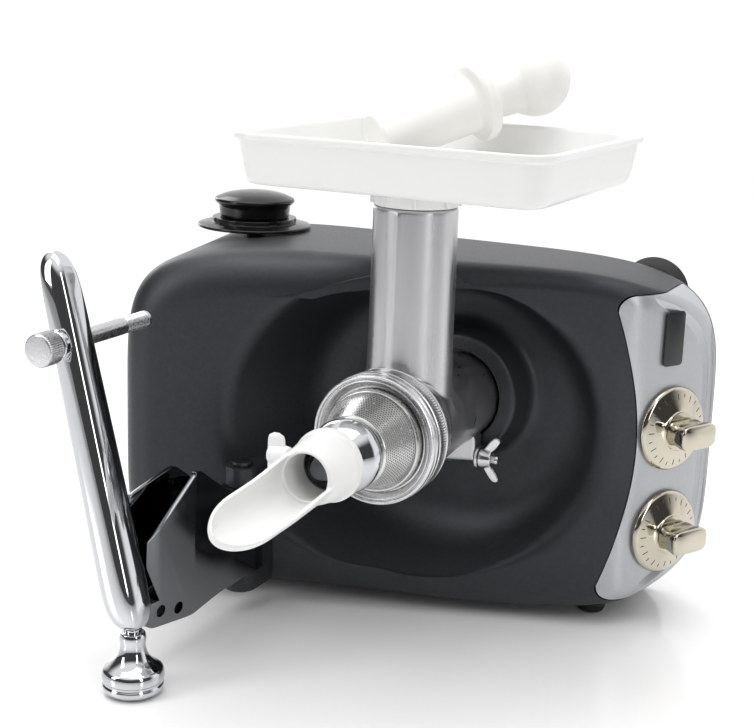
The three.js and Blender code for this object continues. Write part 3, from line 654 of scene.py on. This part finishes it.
def make_barrel():
    outer = soften([(0, 12), (24, 12), (24, 1.5), (27.5, 1.5), (27.5, -5), (28.5, -40),
                    (31.5, -84), (34, -91), (34, -98.6), (33.8, -113), (0, -113)],
                   [0, 0.5, 0.5, 1, 4, 20, 6, 3, 0, 0.8, 0], 5)
    barrel = lathe("barrel_skin", outer, AXIS, OUT, 128)
    tube = lathe("tube", soften([(0, 130), (25.6, 130), (24.4, 196), (24.1, 266.5), (0, 266.5)],
                                [0, 2, 10, 1.4, 0], 5), (0, TUBE_Y, 0), (0, 0, 1), 96)
    combine(barrel, tube)
    lug = extrude("lug", [(-17, 126), (-5, 126), (-5.4, 102), (-8, 99), (-14, 99), (-16.6, 102)],
                  lambda u, v, side: (-8 + 28 * side, u, mix(v, 108 + (v - 108) * 0.6, side)),
                  bevel=1.0)
    combine(barrel, lug)
    for side in (-1, 1):
        rib = rounded_box("parting_line", (0, TUBE_Y + side * 24.2, 216), (1.3, 1.1, 96), radius=0.3)
        combine(barrel, rib)
    bore = lathe("bore", [(0, -114), (27.5, -114), (27.5, -100), (25.5, -96), (23.5, -8),
                          (8, -6.5), (8, 0), (13.5, 1), (13.5, 14), (0, 14)], AXIS, OUT, 96)
    combine(barrel, bore, "DIFFERENCE")
    throat = lathe("throat", [(0, 140), (20.6, 140), (20.6, 268), (0, 268)], (0, TUBE_Y, 0),
                   (0, 0, 1), 96)
    combine(barrel, throat, "DIFFERENCE")
    cast(barrel, 0.75, 9)
    barrel.name = "grinder_barrel_casting"
    place_piece(barrel, "cast", "machine", "cast_aluminium", "grinder_barrel")


def make_ring():
    line = [(34.4, -99), (36.4, -99), (37.2, -99.8), (37.2, -101.4), (36.3, -102), (36.3, -102.8),
            (37.4, -103.4), (37.4, -111.4), (36.7, -112), (36.7, -112.9), (37.5, -113.5),
            (37.5, -116.3), (36.9, -116.9), (36.9, -117.6), (37.4, -118.2), (37.2, -120.2),
            (36.4, -121), (35.4, -120.9), (34.9, -119.6), (34.5, -119.6), (34.1, -120.9),
            (33.6, -121), (30.9, -118.4), (30.5, -117.6), (34.4, -117.6), (34.4, -99)]
    profile = soften(line, [0] + [0.25] * (len(line) - 3) + [0, 0], 3)
    ridges = 150

    def ripple(i, turn, r):
        depth = profile[i][1]
        grip = smooth((-103.4 - depth) / 0.5) * smooth((depth + 111.5) / 0.5)
        return 0.3 * grip * (math.cos(ridges * turn) - 1) / 2 if r > 36 else 0

    ring = lathe("ring_nut_knurled", profile, AXIS, OUT, ridges * 6, 45, ripple)
    place_piece(ring, "turned", "ring", "cast_aluminium", "ring_nut")


def cone_radius(y):
    return mix(28.4, 19, unit((-122 - y) / 24))


def make_cone():
    """Strainer with real holes: each cell of the skin is a square with an eight-sided hole."""
    around, rows, hole = 96, 16, 0.35
    first, last = -123.2, -144.6
    bm = bmesh.new()
    made = {}

    def point(u, v, layer):
        key = (round(u * 1000) % (around * 1000), round(v * 1000), layer)
        if key not in made:
            y = mix(first, last, v / rows)
            r = cone_radius(y) - 0.7 * layer
            turn = TAU * u / around
            spot = Vector((r * math.cos(turn), y, DRIVE_Z + r * math.sin(turn)))
            made[key] = bm.verts.new(ORIGIN + spot * MM)
        return made[key]

    border = [(0, 0), (0.5, 0), (1, 0), (1, 0.5), (1, 1), (0.5, 1), (0, 1), (0, 0.5)]
    for row in range(rows):
        for k in range(around):
            skew = 0.5 * (row % 2)
            ring = []
            for j in range(8):
                a = math.pi * (j - 3) / 4
                ring.append((0.5 + hole * math.cos(a), 0.5 + hole * math.sin(a)))
            for j in range(8):
                m = (j + 1) % 8
                quads = []
                for layer in (0, 1):
                    spots = [border[j], border[m], ring[m], ring[j]]
                    quads.append([point(k + skew + u, row + v, layer) for u, v in spots])
                bm.faces.new(quads[0])
                bm.faces.new(quads[1][::-1])
                bm.faces.new((quads[0][3], quads[0][2], quads[1][2], quads[1][3]))
    band = finish_mesh("sieve_band", bm, 60)
    rims = [soften([(33.2, -117.2), (33.2, -113.4), (27.4, -113.4), (27.1, -122), (27.5, -123.4),
                    (28.5, -123.2), (29.4, -121.4), (29.6, -117.2)], [0.3] * 8, 3, closed=True),
            soften([(19.9, -144.2), (19.2, -144), (17.9, -146), (19, -146), (20.2, -145)],
                   [0.2] * 5, 3, closed=True)]
    parts = [band]
    for profile in rims:
        parts.append(lathe("sieve_rim", profile + [profile[0]], AXIS, OUT, 128))
    cone = join(parts)
    cone.name = "sieve_cone_mesh"
    place_piece(cone, "sieve", "machine", "steel", "sieve_cone")


def make_collar():
    start = -146.3
    line = [(12.5, start), (17.6, start), (18.6, start - 1.4), (20.2, start - 4.4),
            (20.6, start - 7), (20.2, start - 11.6), (17.4, start - 16), (15.9, start - 18)]
    thread = []
    y = start - 18.6
    while y > -175:
        thread += [(15.6, y), (15, y - 0.9)]
        y -= 1.8
    line += thread + [(15, -175.6), (14.4, -176), (12.5, -176), (12.5, start)]
    radii = [0, 0.6, 1, 3, 3, 4, 2, 1] + [0.3] * (len(thread) + 2) + [0, 0]
    collar = lathe("outlet_collar_chrome", soften(line, radii, 4), AXIS, OUT, 128, 50)
    turn = -0.7
    out = Vector((math.sin(turn), 0, -math.cos(turn))) * 22
    ray = out.normalized()
    lug = rounded_box("lug", Vector(AXIS) + out + Vector((0, start - 9, 0)), (8, 8, 8),
                      (ray.cross(Vector(OUT)), Vector(OUT), ray), 1.4)
    combine(collar, lug)
    shade(collar, 50)
    place_piece(collar, "chrome", "collar", "chrome", "outlet_collar")


SPOUT = {"flange": 20, "start": -171, "mouth": -199, "reach": -262, "half": 15.4, "lean": 30,
         "hole": 12.6, "wall": 2.0, "drift": -14, "drop": -16}


def make_spout():
    mouth, start = SPOUT["mouth"], SPOUT["start"]
    flange, hole_r = SPOUT["flange"], SPOUT["hole"]
    line = soften([(16, start), (flange - 0.6, start), (flange, start - 0.8), (flange, start - 5),
                   (18.9, start - 5.6), (18.6, start - 9), (16.6, mouth + 6), (14.4, mouth),
                   (hole_r, mouth), (hole_r, -177), (16, -177)],
                  [0, 0.4, 0.6, 0.4, 0.4, 3, 3, 0.8, 0.6, 0, 0], 5)
    line.append(Vector((16, start)))
    sleeve = lathe("sleeve", line, AXIS, OUT, 96, 50)

    thick = SPOUT["wall"]
    lean = math.radians(SPOUT["lean"])
    rows = []
    for k in range(61):
        s = math.sin(math.pi / 2 * k / 60)
        half = SPOUT["half"] * math.sqrt(max(1 - max((s - 0.62) / 0.38, 0) ** 2.1, 0))
        half = max(half, 0.4)
        y = mouth + 2 - (mouth - SPOUT["reach"] + 2) * s
        low = mix(-16.2, -8.5, s) * (half / SPOUT["half"]) ** 0.55
        lift = mix(5, 0.5, smooth(s / 0.4))
        low_in, half_in = min(low + thick, lift - 0.05), max(half - thick, 0.05)
        row = []
        for wide, deep, sweep in ((half, low, range(33)), (half_in, low_in, range(32, -1, -1))):
            for j in sweep:
                a = math.pi * j / 32
                u, v = wide * power(math.cos(a), 2.5), lift - (lift - deep) * power(math.sin(a), 2.3)
                row.append((SPOUT["drift"] * s + u * math.cos(lean) + v * math.sin(lean), y,
                            DRIVE_Z + SPOUT["drop"] * s - u * math.sin(lean)
                            + v * math.cos(lean)))
        rows.append(row)
    spout = combine(sleeve, loft("trough", rows, angle=50))
    combine(spout, lathe("mouth", [(0, mouth + 40), (hole_r, mouth + 40), (hole_r, mouth - 1),
                                   (0, mouth - 1)], AXIS, OUT, 96), "DIFFERENCE")
    cast(spout, 0.45, 3)
    spout.name = "outlet_spout_chute"
    place_piece(spout, "white", "spout", "white_plastic", "outlet_spout")
    hub = lathe("spout_wing_screw_grip",
                soften([(0, -30), (4.6, -30), (5.8, -24), (5, -18.4), (2.2, -18.4), (2.2, -13.4),
                        (0, -13.4)], [0, 1, 3, 0.6, 0, 0.3, 0], 4),
                (0, start - 12, DRIVE_Z + 4), (1, 0, 0), 48)
    wing = []
    for k in range(17):
        s = 2 * k / 16 - 1
        thick = mix(1.9, 1.1, abs(s)) * (1 - abs(s) ** 8) ** 0.5 + 0.05
        wide = 5 + 0.3 * abs(s) ** 1.5
        wide *= (1 - abs(s) ** 6) ** 0.35 if abs(s) < 1 else 0.3
        wing.append([(-26 + max(wide, 1.2) * power(math.cos(a), 2.6), start - 12
                      + thick * power(math.sin(a), 2.6), DRIVE_Z + 4 + 12 * s)
                     for a in [TAU * i / 32 for i in range(32)]])
    combine(hub, loft("wing", wing))
    shade(hub, 50)
    place_piece(hub, "white", "wing_screw", "white_plastic", "spout_wing_screw")


CLAMP = {"y": -11, "z": 105, "seat": 22.6, "end": 34}
# The bolt's thread: crests and roots in turn, then its chamfered end.
BOLT_END = [(r, 28.6 + 0.5 * k) for k in range(9) for r in (3, 2.6)][:17]
BOLT_END += [(2.4, CLAMP["end"]), (0, CLAMP["end"])]


def make_clamp():
    y, z, seat = CLAMP["y"], CLAMP["z"], CLAMP["seat"]
    bolt = lathe("clamp_bolt_thread", soften([(0, -14), (5.8, -14), (6, -13.2), (6, -8.4),
                                              (3, -8.4), (3, seat + 6), *BOLT_END],
                                             [0, 0.5, 0.5, 0.3, 0, 0] + [0.1] * len(BOLT_END), 2),
                 (0, y, z), (1, 0, 0), 48)
    place_piece(bolt, "zinc", "machine", "steel", "clamp_bolt")
    washer = lathe("clamp_washer_disc", [(3.4, 20.4), (7.2, 20.4), (7.5, 20.7), (7.5, 21.9),
                                         (7.2, 22.2), (3.4, 22.2), (3.4, 20.4)], (0, y, z),
                   (1, 0, 0), 64)
    place_piece(washer, "zinc", "machine", "steel", "clamp_washer")
    hub = soften([(3.3, seat), (6.8, seat), (6.4, seat + 2), (4.8, seat + 7.2),
                  (3.3, seat + 7.4)], [0, 0.6, 1.5, 0.8, 0], 4)
    parts = [lathe("wing_nut_casting", hub + [hub[0]], (0, y, z), (1, 0, 0), 48)]
    wing_line = [(seat + 0.6, 3.9), (seat + 5.4, 3.6), (seat + 8.8, 6.2), (seat + 11.6, 10.2),
                 (seat + 12.4, 12.6), (seat + 10.8, 14.4), (seat + 8.4, 14), (seat + 6, 11.6),
                 (seat + 3.4, 8)]
    for side in (1, -1):
        points = [tuple(p) for p in soften([(a, side * b) for a, b in wing_line], 1.8, 4, True)]
        parts.append(extrude("wing", points, lambda u, v, s: (u, y - 1.6 + 3.2 * s, z + v),
                             bevel=0.9))
    nut = cast(join(parts), 0.28, 5)
    place_piece(nut, "zinc", "clamp_nut", "steel", "wing_nut")


# ---- tray and pusher ------------------------------------------------------------------------
TRAY = {"w": 184, "d": 174, "x": 15, "y": -72, "low": 280, "rim": 308, "spigot": 20.2}


def rounded_row(w, d, corner, z, steps=12):
    row = []
    for q, (sx, sy) in enumerate(((1, 1), (-1, 1), (-1, -1), (1, -1))):
        for k in range(steps + 1):
            a = math.pi / 2 * (q + k / steps)
            row.append((TRAY["x"] + sx * (w / 2 - corner) + corner * math.cos(a),
                        TRAY["y"] + sy * (d / 2 - corner) + corner * math.sin(a), z))
    return row


def make_tray():
    low, rim = TRAY["low"], TRAY["rim"]
    line = [(-22, low), (-15, low + 0.6), (-11, low + 4.5), (-5.4, rim - 4.6), (-1, rim - 3.9),
            (0, rim - 3.2), (0, rim - 0.8), (-0.8, rim), (-7.2, rim), (-9.4, rim - 1.4),
            (-15, low + 6), (-20, low + 2.7), (-27, low + 2.5)]
    line = soften(line, [0, 4, 4, 1, 1, 0.8, 0.6, 0.8, 1, 3, 4, 4, 0], 4)
    rows = [rounded_row(TRAY["w"] + g, TRAY["d"] + g, max(18 + g / 3, 9), z) for g, z in line]
    tray = loft("hopper_tray_moulding", rows, angle=50)
    spigot = TRAY["spigot"]
    neck = soften([(spigot - 2.2, 242.5), (spigot - 0.4, 242.5), (spigot, 243.4),
                   (spigot, 266.8), (24.1, 266.8), (24.1, 274), (25, 281), (spigot - 2.2, 281)],
                  [0, 0.3, 0.6, 0, 0.6, 2, 0, 0], 4)
    neck.append(neck[0].copy())
    combine(tray, lathe("neck", neck, (0, TUBE_Y, 0), (0, 0, 1), 96))
    for k in range(8):
        a = TAU * (k + 0.5) / 8
        ray = Vector((math.cos(a), math.sin(a), 0))
        fin = rounded_box("fin", Vector((0, TUBE_Y, 273.2)) + ray * 24.6, (2.6, 1.6, 12),
                          (ray, ray.cross(Vector((0, 0, 1))), Vector((0, 0, 1))), 0.3)
        combine(tray, fin)
    combine(tray, lathe("hole", [(0, 230), (spigot - 2, 230), (spigot - 2, rim), (0, rim)],
                        (0, TUBE_Y, 0), (0, 0, 1), 96), "DIFFERENCE")
    shade(tray, 40)
    place_piece(tray, "white", "tray", "white_plastic", "hopper_tray")


PUSHER = {"near": (-33, -62, 299.4), "ball": (33, 17, 334.5), "ball_r": 21.4}


def make_pusher():
    near, ball = Vector(PUSHER["near"]), Vector(PUSHER["ball"])
    length = (ball - near).length
    ball_r = PUSHER["ball_r"]
    line = [(0, 0), (14.6, 0), (16, 1.6), (16.6, length * 0.575), (19, length * 0.59),
            (23, length * 0.605), (24, length * 0.635), (22.6, length * 0.668),
            (14.6, length * 0.70), (13.6, length * 0.76), (14.6, length * 0.83)]
    line = soften(line, [0, 0.9, 0.9, 2, 2, 1.6, 1.8, 3, 4, 5, 0], 5)
    for a in range(-44, 91, 4):
        turn = math.radians(a)
        line.append(Vector((ball_r * max(math.cos(turn), 0), length + ball_r * math.sin(turn))))
    line[-1] = Vector((0, line[-1][1]))
    pusher = lathe("pusher_plastic", line, near, ball - near, 128, 60)
    place_piece(pusher, "warm_white", "pusher", "white_plastic", "pusher")


# ---- arm ----------------------------------------------------------------------------------
ARM = {"foot_x": -102, "foot_y": -205, "low": 36, "top_x": -161, "top_y": -193, "top": 240}
HINGE = {"x": -109, "y": -78, "r": 10, "pin": 4.3, "low": 28.3, "high": 83.7}
PIN_Z = 192


def lever_rows(grow=0, around=64, count=64):
    rows = []
    for k in range(count + 1):
        s = (1 - math.cos(math.pi * k / count)) / 2
        cap = max(1 - (abs(s - 0.5) / 0.5) ** 14, 0) ** 0.5
        w, d = mix(12, 9.6, s) * cap, mix(13, 10, s) * cap
        x, y = mix(ARM["foot_x"], ARM["top_x"], s), mix(ARM["foot_y"], ARM["top_y"], s)
        z = mix(ARM["low"], ARM["top"], s)
        rows.append([(x + (max(w, 0.2) + grow) * power(math.cos(a), 2.7),
                      y + (max(d, 0.2) + grow) * power(math.sin(a), 2.7), z)
                     for a in [TAU * i / around for i in range(around)]])
    return rows


def make_arm():
    lever = loft("arm_lever_chrome", lever_rows(), angle=60)
    pin_x = mix(ARM["foot_x"], ARM["top_x"], (PIN_Z - ARM["low"]) / (ARM["top"] - ARM["low"]))
    hole = lathe("hole", [(0, -300), (5.3, -300), (5.3, -100), (0, -100)], (pin_x, 0, PIN_Z),
                 OUT, 64)
    combine(lever, hole, "DIFFERENCE")
    shade(lever, 60)
    place_piece(lever, "chrome", "arm", "chrome", "arm_lever")
    make_bracket()
    make_roller(pin_x)
    foot = soften([(0, 46), (4, 46), (4, 35.2), (6.8, 35), (7.6, 32), (6.8, 27.5), (8.4, 21.5),
                   (12, 17.4), (16.8, 14.4), (17.5, 11.6), (17.5, 8.6), (16.4, 7.4), (16.4, 6.2),
                   (17.2, 5.2), (17, 2.6), (14.2, 0), (0, 0)],
                  [0, 0.3, 0, 0.5, 1.4, 3, 4, 3, 1.4, 1, 0.8, 0.4, 0.4, 0.8, 1.6, 1.6, 0], 5)
    knob = lathe("arm_foot_knob_chrome", foot, (ARM["foot_x"], ARM["foot_y"], 0), (0, 0, 1), 128,
                 50)
    place_piece(knob, "chrome", "arm_foot", "chrome", "arm_foot_knob")


def make_bracket():
    """Hollow casting: two side plates that meet behind, and a turned-back screw tab."""
    x, y, z0, z1 = HINGE["x"], HINGE["y"], HINGE["low"], HINGE["high"]
    near = x + 10

    def slab(name, points, low, high):
        return extrude(name, [tuple(p) for p in points], lambda u, v, s: (mix(low, high, s), u, v),
                       bevel=0)

    side = [(y, z0), (y, z1), (-92, z1), (-108, 89), (-142, 112), (-186, 106), (-192, 98),
            (-192, 34), (-184, 28), (-150, 25), (-120, z0)]
    points = soften(side, [0, 0, 6, 9, 5, 3, 3, 5, 4, 6, 8], 6, closed=True)
    bracket = slab("arm_bracket_casting", points, x - 10, near)
    fall = [(-146, 109.6), (-183, 88), (-200, 78), (-200, 130), (-146, 130)]
    combine(bracket, slab("fall", fall, x - 7, near + 5), "DIFFERENCE")
    pocket = [(-126, 96), (-140, 50), (-176, 44), (-200, 44), (-200, 130), (-126, 130)]
    combine(bracket, slab("pocket", soften(pocket, [3, 8, 4, 0, 0, 0], 6, closed=True), x - 7,
                          near - 3), "DIFFERENCE")
    rows = []
    for s in (-0.4, 1.4):
        u, v = mix(-150, -183, s), mix(27, 88, s)
        rows.append([(near, u, v), (near + 6, u, v), (near + 6, u - 60, v), (near - 9, u - 60, v)])
    combine(bracket, loft("crease", rows), "DIFFERENCE")
    add_bevel(bracket, 0.8, 3, 30)
    knuckle = lathe("knuckle", [(0, z0), (HINGE["r"], z0), (HINGE["r"], z1), (0, z1)], (x, y, 0),
                    (0, 0, 1), 64)
    combine(bracket, knuckle)
    hole = lathe("hole", [(0, 0), (HINGE["pin"], 0), (HINGE["pin"], 120), (0, 120)], (x, y, 0),
                 (0, 0, 1), 48)
    combine(bracket, hole, "DIFFERENCE")
    screws = [(-177, 37), (-162, 34)]
    for u, v in screws:
        well = lathe("well", [(0, 3), (3.6, 3), (3.6, 14), (0, 14)], (x, u, v), (1, 0, 0), 48)
        combine(bracket, well, "DIFFERENCE")
    combine(bracket, loft("lever_space", lever_rows(0.3, 48, 40)), "DIFFERENCE")
    shade(bracket, 32)
    place_piece(bracket, "dark_chrome", "arm", "chrome", "arm_bracket")
    for i, (u, v) in enumerate(screws):
        line = soften([(0, 3.4), (3.3, 3.4), (3.3, 4.8), (1.9, 5), (1.9, 4), (0, 4)],
                      [0, 0.2, 0.3, 0.1, 0.1, 0], 3)
        screw = lathe(f"bracket_screw_{i + 1}_socket", line, (x, u, v), (1, 0, 0), 48)
        place_piece(screw, "black", "arm", "black_plastic", f"bracket_screw_{i + 1}")


def make_roller(pin_x):
    place = (pin_x, 0, PIN_Z)
    line = [(0, -126), (4.2, -126), (5, -126.8)]
    y = -129
    while y > -150:
        line += [(5, y), (4.6, y - 0.7)]
        y -= 1.4
    line += [(5, -152), (5, -214), (0, -214)]
    pin = lathe("roller_pin_rod", soften(line, 0.2, 2), place, OUT, 64)
    place_piece(pin, "steel", "roller", "steel", "roller_pin")
    collar_line = soften([(5.3, -212.6), (7.9, -212.6), (8.4, -212), (8.4, -208.4), (7.9, -207.8),
                          (5.3, -207.8)], [0, 0.4, 0.4, 0.4, 0.4, 0], 3)
    collar_line.append(collar_line[0].copy())
    collar = lathe("roller_collar_ring", collar_line, place, OUT, 64)
    place_piece(collar, "chrome", "arm", "chrome", "roller_collar")
    profile = soften([(0, -214.3), (8.6, -214.3), (9.1, -215), (9.1, -225), (8.4, -226),
                      (0, -226)], [0, 0.4, 0.4, 0.5, 0.5, 0], 3)

    def knurl(i, turn, r):
        depth = profile[i][1]
        return 0.26 * math.cos(48 * turn) if r > 8.9 and -225.2 < depth < -214.8 else 0

    knob = lathe("roller_knob_knurled", profile, place, OUT, 48 * 6, 40, knurl)
    place_piece(knob, "steel", "roller", "steel", "roller_knob")


# ---- nodes that stay as the design made them --------------------------------------------------
KEPT = {"speed_switch": "black", "timer_switch": "black", "control_board": "board",
        "motor_stator": "copper", "motor_rotor": "steel", "drive_gear": "nylon",
        "drive_spindle": "steel", "gear_frame": "cast", "spindle_bearing_front": "steel",
        "spindle_bearing_rear": "steel", "auger_bushing": "nylon", "auger": "cast",
        "arm_hinge_post": "paint", "arm_hinge_pin": "black"}


# ---- stage ----------------------------------------------------------------------------------
CAMERA = {"place": (347.3, -849.8, 380.3), "azimuth": 25.4, "down": 13.67, "roll": 2.03,
          "lens": 72.3}


def make_camera():
    a, e, roll = (math.radians(CAMERA[k]) for k in ("azimuth", "down", "roll"))
    back = Vector((math.sin(a) * math.cos(e), -math.cos(a) * math.cos(e), math.sin(e)))
    right = Vector((math.cos(a), math.sin(a), 0))
    up = back.cross(right)
    tilted = right * math.cos(roll) + up * math.sin(roll)
    upward = up * math.cos(roll) - right * math.sin(roll)
    data = bpy.data.cameras.new("camera")
    data.lens = CAMERA["lens"]
    data.sensor_width = 36
    camera = bpy.data.objects.new("camera", data)
    turn = Matrix((tilted, upward, back)).transposed().to_4x4()
    camera.matrix_world = Matrix.Translation(ORIGIN + Vector(CAMERA["place"]) * MM) @ turn
    bpy.context.scene.collection.objects.link(camera)
    bpy.context.scene.camera = camera


def make_light(name, place, aim, size, power_w, tint=(1, 1, 1)):
    data = bpy.data.lights.new(name, "AREA")
    data.shape = "RECTANGLE"
    data.size, data.size_y = size
    data.energy = power_w
    data.color = tint
    light = bpy.data.objects.new(name, data)
    light.location = place
    light.rotation_mode = "QUATERNION"
    light.rotation_quaternion = (Vector(aim) - Vector(place)).to_track_quat("-Z", "Y")
    bpy.context.scene.collection.objects.link(light)


FLOOR = {"half": 6, "drop": 0.0004, "white": 0.97, "rough": 0.16}


def make_stage():
    """Glossy pale floor just under the object, with four soft lights round it."""
    bm = bmesh.new()
    bmesh.ops.create_grid(bm, x_segments=1, y_segments=1, size=FLOOR["half"])
    mesh = bpy.data.meshes.new("floor")
    bm.to_mesh(mesh)
    bm.free()
    floor = bpy.data.objects.new("floor", mesh)
    floor.location.z = -FLOOR["drop"]
    bpy.context.scene.collection.objects.link(floor)
    mat = bpy.data.materials.new("floor")
    mat.use_nodes = True
    shader = mat.node_tree.nodes["Principled BSDF"]
    shader.inputs["Base Color"].default_value = (*[FLOOR["white"]] * 3, 1)
    shader.inputs["Roughness"].default_value = FLOOR["rough"]
    floor.data.materials.append(mat)
    make_world()
    make_light("key", (-1.0, -1.2, 0.9), (-0.05, 0, 0.15), (0.45, 1.3), 9)
    make_light("strip", (1.35, -0.75, 0.8), (0, 0, 0.15), (0.25, 1.3), 5)
    make_light("top", (0.0, -0.1, 1.6), (0, 0, 0.1), (1.4, 0.8), 10)
    make_light("rim", (-1.3, 0.9, 0.9), (0, 0, 0.15), (0.5, 1.3), 6)
    bpy.context.scene.view_settings.view_transform = "Standard"


WORLD = {"dark": 0.07, "white": 1.14, "wall": ("Y", 0.12, 0.5), "ceiling": ("Z", 0.5, 0.8)}


def make_world():
    """A white wall behind and a white ceiling, with a dark room on the viewer's side."""
    world = bpy.data.worlds.new("studio")
    world.use_nodes = True
    nodes, links = world.node_tree.nodes, world.node_tree.links
    place = nodes.new("ShaderNodeTexCoord")
    split = nodes.new("ShaderNodeSeparateXYZ")
    links.new(place.outputs["Generated"], split.inputs["Vector"])
    bright = nodes.new("ShaderNodeMath")
    bright.operation = "MAXIMUM"
    for i, (axis, start, end) in enumerate((WORLD["wall"], WORLD["ceiling"])):
        ramp = nodes.new("ShaderNodeMapRange")
        ramp.interpolation_type = "SMOOTHSTEP"
        ramp.inputs["From Min"].default_value = start
        ramp.inputs["From Max"].default_value = end
        ramp.inputs["To Min"].default_value = WORLD["dark"]
        ramp.inputs["To Max"].default_value = WORLD["white"]
        links.new(split.outputs[axis], ramp.inputs["Value"])
        links.new(ramp.outputs["Result"], bright.inputs[i])
    links.new(bright.outputs["Value"], nodes["Background"].inputs["Strength"])
    nodes["Background"].inputs["Color"].default_value = (1, 1, 1, 1)
    bpy.context.scene.world = world


make_camera()
make_stage()
make_housing()
make_badge()
make_controls()
make_base()
make_lock()
make_barrel()
make_ring()
make_cone()
make_collar()
make_spout()
make_clamp()
make_tray()
make_pusher()
make_arm()
for node, look in KEPT.items():
    dress(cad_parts[node], look)
